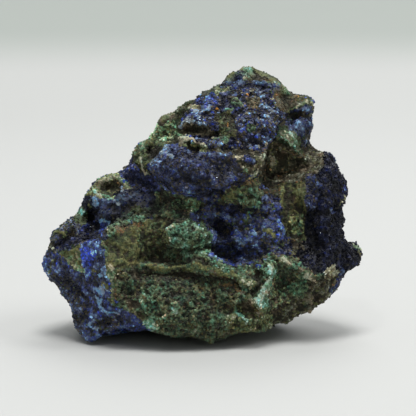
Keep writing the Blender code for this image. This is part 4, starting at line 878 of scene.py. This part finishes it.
def paper_material(name, tone, top_tone, low, high):
    """Matt paper, which goes over to another tone between two heights: painted shade that darkens the wall
    towards its top.
    """
    material, nodes, links, shader = new_material(name)
    shader.inputs["Roughness"].default_value = PAPER_ROUGHNESS
    shader.inputs["Specular IOR Level"].default_value = PAPER_SPECULAR
    where = nodes.new("ShaderNodeTexCoord")
    height = nodes.new("ShaderNodeSeparateXYZ")
    links.new(where.outputs["Object"], height.inputs["Vector"])
    shade = map_range(nodes, from_min=low, from_max=high)
    shade.interpolation_type = "SMOOTHSTEP"
    links.new(height.outputs["Z"], shade.inputs["Value"])
    paper = nodes.new("ShaderNodeVectorMath")
    paper.operation = "MULTIPLY_ADD"
    links.new(shade.outputs["Result"], paper.inputs[0])
    paper.inputs[1].default_value = Vector(top_tone) - Vector(tone)
    paper.inputs[2].default_value = tone
    links.new(paper.outputs["Vector"], shader.inputs["Base Color"])
    return material


# ---------------------------------------------------------------- the skin

SKIN = "azurite_rock_skin"
MERGE = 1e-6  # m
FOOT = 0.8 * MM  # below this the carving fades out
BED_DEPTH = 0.15  # mm that the skin lies under the stone's own surface, for the growth to fill
LUMP_LEVEL = 0.6  # the height on a lump that stays where it was
LIFT_RANGE = 2.5  # mm, the most that carving moves a point
PROUD_ROUNDS = (5, 30)  # how far about a point it is judged to stand proud
SKIN_TRIANGLES = 190000
THIN_FROM = 2.0  # mm towards the viewer
THIN_BLEND = 6.0  # mm
THIN_FAR_SIDE = 4.0  # how much more the far side is thinned
SKIN_SCATTER = 0.2
# The skin under the growth is painted this much darker, as painted shade in the gaps between crystals, tufts
# and grains.
SKIN_PAINTED_SHADE = 0.7
GROUNDS = {"crystal": "azurite_ground", "tuft": "malachite_ground", "grain": "limonite_ground"}

DOME_REACH = 0.75
DRUSE_LUMPS = ((4.6, 0.35), (2.4, 0.4), (1.2, 0.25))  # size in mm and share
DRUSE_STRAY, DRUSE_STRAY_SIZE = 0.6, 2.5  # mm that the lumps are pushed about, and over what size


class Creases(NamedTuple):
    """Crumpled ground: its height between creases, the creases' depth, their size in mm and their octaves."""
    top: float
    depth: float
    size: float
    octaves: int


CREASES = {"tuft": Creases(1.2, 1.4, 1.2, 2), "grain": Creases(1.1, 1.2, 1.8, 3)}
CREASE_FADE = 0.6


def bare_stone():
    """A free copy of the CAD stone with its loose triangles merged."""
    piece = bpy.data.objects.new(SKIN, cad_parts[NODE].data.copy())
    bpy.context.scene.collection.objects.link(piece)
    pick(piece)
    bpy.ops.object.mode_set(mode="EDIT")
    bpy.ops.mesh.select_all(action="SELECT")
    bpy.ops.mesh.remove_doubles(threshold=MERGE)
    bpy.ops.mesh.normals_make_consistent(inside=False)
    bpy.ops.object.mode_set(mode="OBJECT")
    piece.data.materials.clear()
    return piece


def dome(place, size):
    """How high a place is on round lumps of a size, from 0 in the creases between them to 1."""
    return max(0.0, 1 - (noise.voronoi(place / size)[0][0] / DOME_REACH) ** 2)


def lumps(points, finish):
    """How high each point stands on its finish's lumps, from 0 in a crevice to 1."""
    high = np.zeros(len(points))
    for number, (point, growth) in enumerate(zip(points, of_finishes("growth", finish))):
        place = Vector(point) / MM
        if growth == "crystal":
            place += DRUSE_STRAY * noise.noise_vector(place / DRUSE_STRAY_SIZE)
            high[number] = sum(share * dome(place, size) for size, share in DRUSE_LUMPS)
        else:
            creases = CREASES[growth]
            crumple = noise.turbulence(
                place / creases.size, creases.octaves, True, amplitude_scale=CREASE_FADE)
            high[number] = creases.top - creases.depth * crumple
    return high.clip(0, 1)


def carve(piece, lift):
    """Moves each point of the skin along its normal by its lift, in mm."""
    weigh(piece, "raised", lift / LIFT_RANGE)
    weigh(piece, "sunk", -lift / LIFT_RANGE)
    apply_modifier(piece, "DISPLACE", vertex_group="raised", strength=LIFT_RANGE * MM, direction="NORMAL")
    apply_modifier(piece, "DISPLACE", vertex_group="sunk", strength=-LIFT_RANGE * MM, direction="NORMAL")
    piece.vertex_groups.clear()


def proudness(mesh, rounds):
    """How far each point stands proud of its surroundings, in metres."""
    points, normals = vertex_arrays(mesh)
    ends = np.zeros(len(mesh.edges) * 2, int)
    mesh.edges.foreach_get("vertices", ends)
    start, end = ends.reshape(-1, 2).T
    degree = np.bincount(ends, minlength=len(points))
    calm = points.copy()
    for _ in range(rounds):
        calm = np.stack([
            (np.bincount(start, calm[end, axis], len(points))
             + np.bincount(end, calm[start, axis], len(points))) / degree
            for axis in range(3)], axis=1)
    return ((points - calm) * normals).sum(axis=1)


def thin_out(piece, near):
    """Thins the skin's mesh to what it may hold, on the far side of the stone first."""
    weigh(piece, "far", np.clip((THIN_FROM - near) / THIN_BLEND, 0, 1))
    triangles = sum(len(polygon.vertices) - 2 for polygon in piece.data.polygons)
    apply_modifier(piece, "DECIMATE", ratio=min(1.0, SKIN_TRIANGLES / triangles), vertex_group="far",
                   vertex_group_factor=THIN_FAR_SIDE)
    piece.vertex_groups.clear()


def rest_on_table(mesh):
    """Keeps every point above the table."""
    for vertex in mesh.vertices:
        vertex.co.z = max(vertex.co.z, 0.0)


class SPECIMEN_OT_skin(bpy.types.Operator):
    """Grows the stone's skin from the CAD solid, carves its ridges and cracks and tints its minerals"""
    bl_idname = "specimen.skin"
    bl_label = "Skin"

    def execute(self, context):
        sizes = context.scene.specimen_sizes
        noise.seed_set(sizes.seed)
        seats.cache_clear()
        piece = bare_stone()
        mesh = piece.data
        apply_modifier(piece, "REMESH", mode="VOXEL", voxel_size=sizes.skin_voxel, use_smooth_shade=True)
        apply_modifier(piece, "SMOOTH", factor=0.5, iterations=2)
        points, normals = vertex_arrays(mesh)
        finish, tone, rise = painted(points, normals, facing_eye(points, normals, tree_of(mesh)))
        store(mesh, "finish", finish)
        store(mesh, "tone", tone)
        lift = rise + of_finishes("relief", finish) * (lumps(points, finish) - LUMP_LEVEL) - BED_DEPTH
        carve(piece, lift * np.clip(points[:, 2] / FOOT, 0, 1))
        rest_on_table(mesh)
        thin_out(piece, shown_at(points)[:, 2])
        proud = sum(ranked(proudness(mesh, rounds)) for rounds in PROUD_ROUNDS)
        store(mesh, "proud", proud)
        # Thinning blends the numbers where two finishes meet, so a finish listed between them dots the seam.
        finish = stored(mesh, "finish").round().astype(int)
        points, _ = vertex_arrays(mesh)
        tint = picked_colours(
            points, finish, stored(mesh, "tone"), proud, SKIN_SCATTER, np.random.default_rng(sizes.seed))
        # Painted shade: the skin is darker than what grows on it.
        give_tint(mesh, tint * SKIN_PAINTED_SHADE)
        for ground in GROUNDS.values():
            mesh.materials.append(mineral_material(ground))
        ground = np.array([list(GROUNDS).index(growth) for growth in of_finishes("growth", finish)])
        firsts = np.array([polygon.vertices[0] for polygon in mesh.polygons])
        mesh.polygons.foreach_set("material_index", ground[firsts])
        mesh.update()
        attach(piece, BODY)
        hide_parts(NODE)
        return {"FINISHED"}


# ---------------------------------------------------------------- what grows on the skin

DENSE, SPARSE = 0.125, 0.3  # mm² of skin to each growth, where the viewer sees it and elsewhere
HIDDEN_GAIN = 1.35  # what grows out of sight is this much bigger, as there is less of it
UNDERSIDE = -0.6  # a normal's height, below which the foot's skin stays bare
SIZE_SPREAD, SIZE_LIMITS = 0.3, (-1.6, 2.4)
MAX_TRIANGLES = 190000  # in one piece
TOP_HALF = 0.3  # height on a shape, above which its vertices are its top


class Habit(NamedTuple):
    """How a kind grows: its length and its thickness over its width, how far it leans, how deep its foot is
    sunk over its length, how far its colours scatter, and whether its faces are smooth."""
    length: tuple
    thickness: tuple
    lean: float
    sunk: float
    scatter: float
    smooth: bool


HABITS = {
    "crystal": Habit((0.8, 1.3), (0.55, 0.95), 0.4, -0.15, 0.28, False),
    "tuft": Habit((0.9, 1.4), (0.75, 1.1), 0.35, 0.0, 0.28, True),
    "grain": Habit((0.7, 1.2), (0.7, 1.1), 0.5, 0.0, 0.22, False),
}
UPPER_FROM = 34.0  # mm: the height that parts the upper crystals from the lower


@cache
def seats():
    """Where something grows: points, normals, finishes, tones, how proud each stands, and its size gain."""
    sizes = bpy.context.scene.specimen_sizes
    draws = np.random.default_rng(sizes.seed + 1)
    mesh = bpy.data.objects[SKIN].data
    mesh.calc_loop_triangles()
    points, _ = vertex_arrays(mesh)
    corners = np.zeros(len(mesh.loop_triangles) * 3, int)
    mesh.loop_triangles.foreach_get("vertices", corners)
    proud = stored(mesh, "proud")[corners.reshape(-1, 3)].mean(axis=1)
    corners = points[corners.reshape(-1, 3)]
    cross = np.cross(corners[:, 1] - corners[:, 0], corners[:, 2] - corners[:, 0])
    area = np.linalg.norm(cross, axis=1) / 2
    normal = cross / (2 * area[:, None] + 1e-20)
    middle = corners.mean(axis=1)
    seen = facing_eye(middle, normal, tree_of(mesh))
    expected = area / (np.where(seen, DENSE, SPARSE) * MM * MM)
    count = np.floor(expected + draws.random(len(area))).astype(int)
    count[(middle[:, 2] < FOOT) & (normal[:, 2] < UNDERSIDE)] = 0
    chosen = np.repeat(np.arange(len(area)), count)
    first, second = draws.random(len(chosen)), draws.random(len(chosen))
    folded = first + second > 1
    first[folded], second[folded] = 1 - first[folded], 1 - second[folded]
    spots = corners[chosen, 0] + first[:, None] * (corners[chosen, 1] - corners[chosen, 0]) \
        + second[:, None] * (corners[chosen, 2] - corners[chosen, 0])
    finish, tone, _ = painted(spots, normal[chosen], seen[chosen])
    return spots, normal[chosen], finish, tone, proud[chosen], np.where(seen[chosen], 1.0, HIDDEN_GAIN)


def shape_of(make):
    """Runs make, which models one shape, and returns its points and triangles."""
    bpy.ops.object.select_all(action="DESELECT")
    make()
    model = bpy.context.object
    bpy.ops.object.mode_set(mode="EDIT")
    bpy.ops.mesh.select_all(action="SELECT")
    bpy.ops.mesh.quads_convert_to_tris()
    bpy.ops.mesh.normals_make_consistent(inside=False)
    bpy.ops.object.mode_set(mode="OBJECT")
    points, _ = vertex_arrays(model.data)
    faces = np.array([list(polygon.vertices) for polygon in model.data.polygons])
    bpy.data.objects.remove(model)
    return points, faces


def tapered_cube(top, roof=0.0):
    """A cube whose top is drawn in and may be tilted like a roof."""
    bpy.ops.mesh.primitive_cube_add(size=1)
    mesh = bpy.context.object.data
    for vertex in mesh.vertices:
        vertex.select = vertex.co.z > TOP_HALF
    for part in (*mesh.edges, *mesh.polygons):
        part.select = all(mesh.vertices[corner].select for corner in part.vertices)
    bpy.ops.object.mode_set(mode="EDIT")
    bpy.ops.transform.resize(value=(*top, 1.0))
    if roof:
        bpy.ops.transform.rotate(value=roof, orient_axis="X", center_override=(0, 0, 0.5))
    bpy.ops.object.mode_set(mode="OBJECT")


def blade():
    """A thick azurite blade with a wedge end."""
    tapered_cube((0.72, 0.4))


def block():
    """A squat azurite block with a tilted roof."""
    tapered_cube((0.8, 0.75), roof=radians(18))


def plate():
    """A flat-topped azurite crystal."""
    tapered_cube((0.9, 0.85))


def bead():
    """A rounded malachite tuft."""
    bpy.ops.mesh.primitive_uv_sphere_add(segments=4, ring_count=3, radius=0.6)


def clod():
    """An angular earthy grain."""
    bpy.ops.mesh.primitive_uv_sphere_add(segments=4, ring_count=2, radius=0.65)


def turned_frames(normals, lean, draws):
    """For each normal, three axes: a random side, another, and the normal leant by up to about lean."""
    axis = normals + draws.standard_normal(normals.shape) * lean
    axis /= np.linalg.norm(axis, axis=1)[:, None]
    side = np.cross(axis, draws.standard_normal(normals.shape))
    side /= np.linalg.norm(side, axis=1)[:, None]
    return np.stack((side, np.cross(axis, side), axis), axis=2)


def grown_mesh(name, shape, spots, frames, scales, tint, sunk=0.0, smooth=False):
    """One mesh of a shape set at every spot, turned by its frame and scaled."""
    points, faces = shape
    placed = points[None] * scales[:, None, :]
    placed[:, :, 2] += scales[:, 2][:, None] * sunk
    placed = np.einsum("nij,nkj->nki", frames, placed) + spots[:, None, :]
    placed[:, :, 2] = np.maximum(placed[:, :, 2], 0.0)
    joined = (faces[None] + (np.arange(len(spots)) * len(points))[:, None, None]).reshape(-1, 3)
    mesh = bpy.data.meshes.new(name)
    mesh.from_pydata(placed.reshape(-1, 3), [], joined.tolist())
    mesh.polygons.foreach_set("use_smooth", np.full(len(joined), smooth))
    give_tint(mesh, np.repeat(tint, len(points), axis=0))
    mesh.update()
    return mesh


def stand(name, mesh, material):
    """Puts a grown mesh on the stone as a piece of it."""
    piece = bpy.data.objects.new(name, mesh)
    bpy.context.scene.collection.objects.link(piece)
    mesh.materials.append(material)
    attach(piece, BODY)


def grow(kind, shapes, width, material, regions, seed):
    """Grows one kind of thing wherever its finishes lie, one piece to each region and shape."""
    habit = HABITS[kind]
    draws = np.random.default_rng(seed)
    found = seats()
    finish = found[2]
    cover = of_finishes("cover", finish) * (of_finishes("growth", finish) == kind)
    kept = np.flatnonzero(draws.random(len(finish)) < cover)
    spots, normals, finish, tone, proud, gain = (values[kept] for values in found)
    tint = picked_colours(spots, finish, tone, proud, habit.scatter, draws)
    spread = SIZE_SPREAD * draws.standard_normal(len(spots)).clip(*SIZE_LIMITS)
    widths = width * of_finishes("size", finish) * gain * np.exp(spread)
    lengths = widths * draws.uniform(*habit.length, len(spots))
    scales = np.stack((widths, widths * draws.uniform(*habit.thickness, len(spots)), lengths), axis=1)
    frames = turned_frames(normals, habit.lean, draws)
    which = draws.integers(len(shapes), size=len(spots))
    shown = shown_at(spots)
    for region, test in regions.items():
        for number, shape in enumerate(shapes):
            here = np.flatnonzero(test(shown) & (which == number))
            name = f"{region}_{number + 1}" if len(shapes) > 1 else region
            if len(here) * len(shape[1]) > MAX_TRIANGLES:
                raise RuntimeError(f"{name} would have {len(here) * len(shape[1])} triangles")
            mesh = grown_mesh(
                name, shape, spots[here], frames[here], scales[here], tint[here], habit.sunk, habit.smooth)
            stand(name, mesh, material)


def in_front(at):
    """Whether each place lies in the near part of the stone."""
    return at[:, 2] > BACK_FROM


def behind(at):
    """Whether each place lies in the far part of the stone."""
    return at[:, 2] <= BACK_FROM


class SPECIMEN_OT_crystals(bpy.types.Operator):
    """Grows the azurite druse: wedge-ended blades and squat blocks"""
    bl_idname = "specimen.crystals"
    bl_label = "Azurite crystals"

    def execute(self, context):
        sizes = context.scene.specimen_sizes
        noise.seed_set(sizes.seed)
        material = mineral_material("azurite_crystal")
        grow("crystal", [shape_of(blade), shape_of(block)], sizes.crystal, material,
             {"azurite_crystals_high": lambda at: in_front(at) & (at[:, 1] >= UPPER_FROM),
              "azurite_crystals_low": lambda at: in_front(at) & (at[:, 1] < UPPER_FROM),
              "azurite_crystals_behind": behind}, sizes.seed + 2)
        return {"FINISHED"}


class SPECIMEN_OT_malachite(bpy.types.Operator):
    """Grows the malachite's rounded, velvety tufts"""
    bl_idname = "specimen.malachite"
    bl_label = "Malachite tufts"

    def execute(self, context):
        sizes = context.scene.specimen_sizes
        noise.seed_set(sizes.seed)
        material = mineral_material("malachite_tuft")
        grow("tuft", [shape_of(bead)], sizes.tuft, material,
             {"malachite_tufts_front": in_front, "malachite_tufts_behind": behind}, sizes.seed + 3)
        return {"FINISHED"}


class SPECIMEN_OT_limonite(bpy.types.Operator):
    """Strews the brown, olive and tan earthy grains"""
    bl_idname = "specimen.limonite"
    bl_label = "Limonite grains"

    def execute(self, context):
        sizes = context.scene.specimen_sizes
        noise.seed_set(sizes.seed)
        material = mineral_material("limonite_grain")
        grow("grain", [shape_of(clod)], sizes.grain, material,
             {"limonite_grains_front": in_front, "limonite_grains_behind": behind}, sizes.seed + 4)
        return {"FINISHED"}


# ---------------------------------------------------------------- the bright crystals

SPARK_LAMP_AT = (-0.25, -0.45, 0.95)  # m
GLINT_RISE = 0.12 * MM
GLINT_SHAPE = (1, 0.75, 0.8)  # width, depth and length over the width
GLINT_TURN = Vector((0.3, 0.2, 1))
GLINT_TINT = (0.2, 0.28, 0.5)


class SPECIMEN_OT_glints(bpy.types.Operator):
    """Seats the few crystals whose flat faces catch the lamp"""
    bl_idname = "specimen.glints"
    bl_label = "Bright crystals"

    def execute(self, context):
        tree = tree_of(bpy.data.objects[SKIN].data)
        eye = in_stone(EYE)
        spots, frames, scales = [], [], []
        for across, up, width in GLINTS:
            flat = in_stone(MIDDLE + RIGHTWARDS * across + UPWARDS * (up - MIDDLE_UP))
            spot = tree.ray_cast(eye, (flat - eye).normalized())[0]
            if spot is None:
                raise RuntimeError(f"no skin shows at {across}, {up} for a bright crystal")
            to_lamp = (Vector(SPARK_LAMP_AT) - spot).normalized()
            face = ((eye - spot).normalized() + to_lamp).normalized()
            side = face.cross(GLINT_TURN).normalized()
            spots.append(spot + face * GLINT_RISE)
            frames.append(np.column_stack((side, face.cross(side), face)))
            scales.append([width * share * MM for share in GLINT_SHAPE])
        tint = np.tile(GLINT_TINT, (len(spots), 1))
        name = "azurite_glints"
        mesh = grown_mesh(name, shape_of(plate), np.array(spots), np.array(frames), np.array(scales), tint)
        stand(name, mesh, mineral_material("azurite_glint"))
        return {"FINISHED"}


# ---------------------------------------------------------------- the stage

FLOOR_RADIUS = 0.62  # m, where the floor starts to curve up
FLOOR_CORNERS = 96
BOWL_REACH = 0.5  # m
BOWL_RISE = 0.5  # m
BOWL_STEPS = 12
RING_SLACK = 1e-4  # m
FLOOR_TONE = (0.418, 0.42, 0.408)
WALL_TONE = (0.314, 0.333, 0.312)
PAPER_SHADES_FROM, PAPER_SHADES_TO = 18 * MM, 48 * MM  # heights between which the paper darkens, as painted shade towards the top of the wall

# Each lamp's name, place in m, width in m and power in watts.
LAMPS = [
    ("lamp_overhead", (0.04, -0.24, 1.6), 0.7, 23.5),
    ("lamp_behind", (0.24, 1.0, 1.26), 1.2, 14.0),
    ("lamp_right", (0.95, -0.2, 1.05), 0.64, 7.0),
    ("lamp_spark", SPARK_LAMP_AT, 0.06, 1.0),
]
LAMPS_FACE = (0, 0, 0.03)  # m
SKY_TONE, SKY_STRENGTH = (0.9, 0.95, 1.0, 1), 0.39


def select_ring(mesh, radius):
    """Selects the vertices of a mesh in edit mode that lie at radius from the middle."""
    bpy.ops.mesh.select_all(action="DESELECT")
    bpy.ops.object.mode_set(mode="OBJECT")
    for vertex in mesh.vertices:
        vertex.select = abs(vertex.co.xy.length - radius) < RING_SLACK
    bpy.ops.object.mode_set(mode="EDIT")
    bpy.ops.mesh.select_mode(type="VERT")


def bowl():
    """A pale floor that curves up all round into a wall."""
    bpy.ops.object.select_all(action="DESELECT")
    bpy.ops.mesh.primitive_circle_add(
        vertices=FLOOR_CORNERS, radius=FLOOR_RADIUS, fill_type="NOTHING", location=(0, 0, 0))
    floor = bpy.context.object
    floor.name = "stage_floor"
    bpy.ops.object.mode_set(mode="EDIT")
    edge = FLOOR_RADIUS
    for step in range(BOWL_STEPS):
        before, after = radians(90) * step / BOWL_STEPS, radians(90) * (step + 1) / BOWL_STEPS
        select_ring(floor.data, edge)
        bpy.ops.mesh.extrude_region_move()
        wider = edge + (sin(after) - sin(before)) * BOWL_REACH
        bpy.ops.transform.resize(value=(wider / edge, wider / edge, 1), center_override=(0, 0, 0))
        bpy.ops.transform.translate(value=(0, 0, BOWL_RISE * (cos(before) - cos(after))))
        edge = wider
    select_ring(floor.data, FLOOR_RADIUS)
    bpy.ops.mesh.edge_face_add()
    bpy.ops.mesh.select_all(action="SELECT")
    bpy.ops.mesh.normals_make_consistent(inside=True)
    bpy.ops.object.mode_set(mode="OBJECT")
    bpy.ops.object.shade_smooth()
    floor.data.materials.append(
        paper_material("stage_paper", FLOOR_TONE, WALL_TONE, PAPER_SHADES_FROM, PAPER_SHADES_TO))
    return floor


def turn_to(holder, target):
    """Points a lamp or a camera at a place."""
    holder.rotation_euler = (Vector(target) - holder.location).to_track_quat("-Z", "Y").to_euler()


def round_lamp(name, at, width, watts):
    """A soft round lamp that shines at the stone."""
    light = bpy.data.lights.new(name, "AREA")
    light.shape = "DISK"
    light.size = width
    light.energy = watts
    lamp = bpy.data.objects.new(name, light)
    lamp.location = at
    turn_to(lamp, LAMPS_FACE)
    bpy.context.scene.collection.objects.link(lamp)


class SPECIMEN_OT_stage(bpy.types.Operator):
    """Sets the pale floor, the soft lamps, the sky's light and the camera"""
    bl_idname = "specimen.stage"
    bl_label = "Stage"

    def execute(self, context):
        scene = context.scene
        bowl()
        for lamp in LAMPS:
            round_lamp(*lamp)
        scene.world = bpy.data.worlds.new("sky")
        scene.world.use_nodes = True
        sky = scene.world.node_tree.nodes["Background"]
        sky.inputs["Color"].default_value = SKY_TONE
        sky.inputs["Strength"].default_value = SKY_STRENGTH
        camera = bpy.data.cameras.new("viewer")
        camera.sensor_width = SENSOR
        camera.lens = SENSOR * EYE_AWAY / VIEW_WIDTH
        camera.clip_start = 0.01
        holder = bpy.data.objects.new("viewer", camera)
        holder.location = in_stone(EYE)
        turn_to(holder, in_stone(MIDDLE))
        scene.collection.objects.link(holder)
        scene.camera = holder
        scene.view_settings.view_transform = "Standard"
        return {"FINISHED"}


# ---------------------------------------------------------------- the add-on

class SPECIMEN_PT_panel(bpy.types.Panel):
    """Lists what the specimen is made of"""
    bl_label = "Azurite specimen"
    bl_idname = "SPECIMEN_PT_panel"
    bl_space_type = "VIEW_3D"
    bl_region_type = "UI"
    bl_category = "Specimen"

    def draw(self, context):
        for name in SpecimenSizes.__annotations__:
            self.layout.prop(context.scene.specimen_sizes, name)
        for name in SpecimenColours.__annotations__:
            self.layout.prop(context.scene.specimen_colours, name)
        for step in STEPS:
            self.layout.operator(step.bl_idname)


STEPS = (SPECIMEN_OT_skin, SPECIMEN_OT_crystals, SPECIMEN_OT_malachite, SPECIMEN_OT_limonite,
         SPECIMEN_OT_glints, SPECIMEN_OT_stage)
CLASSES = (SpecimenColours, SpecimenSizes, *STEPS, SPECIMEN_PT_panel)


def register():
    for each in CLASSES:
        bpy.utils.register_class(each)
    bpy.types.Scene.specimen_colours = PointerProperty(type=SpecimenColours)
    bpy.types.Scene.specimen_sizes = PointerProperty(type=SpecimenSizes)


def unregister():
    del bpy.types.Scene.specimen_sizes
    del bpy.types.Scene.specimen_colours
    for each in reversed(CLASSES):
        bpy.utils.unregister_class(each)


def main():
    register()
    bpy.ops.specimen.skin()
    bpy.ops.specimen.crystals()
    bpy.ops.specimen.malachite()
    bpy.ops.specimen.limonite()
    bpy.ops.specimen.glints()
    bpy.ops.specimen.stage()


if __name__ == "__main__":
    main()
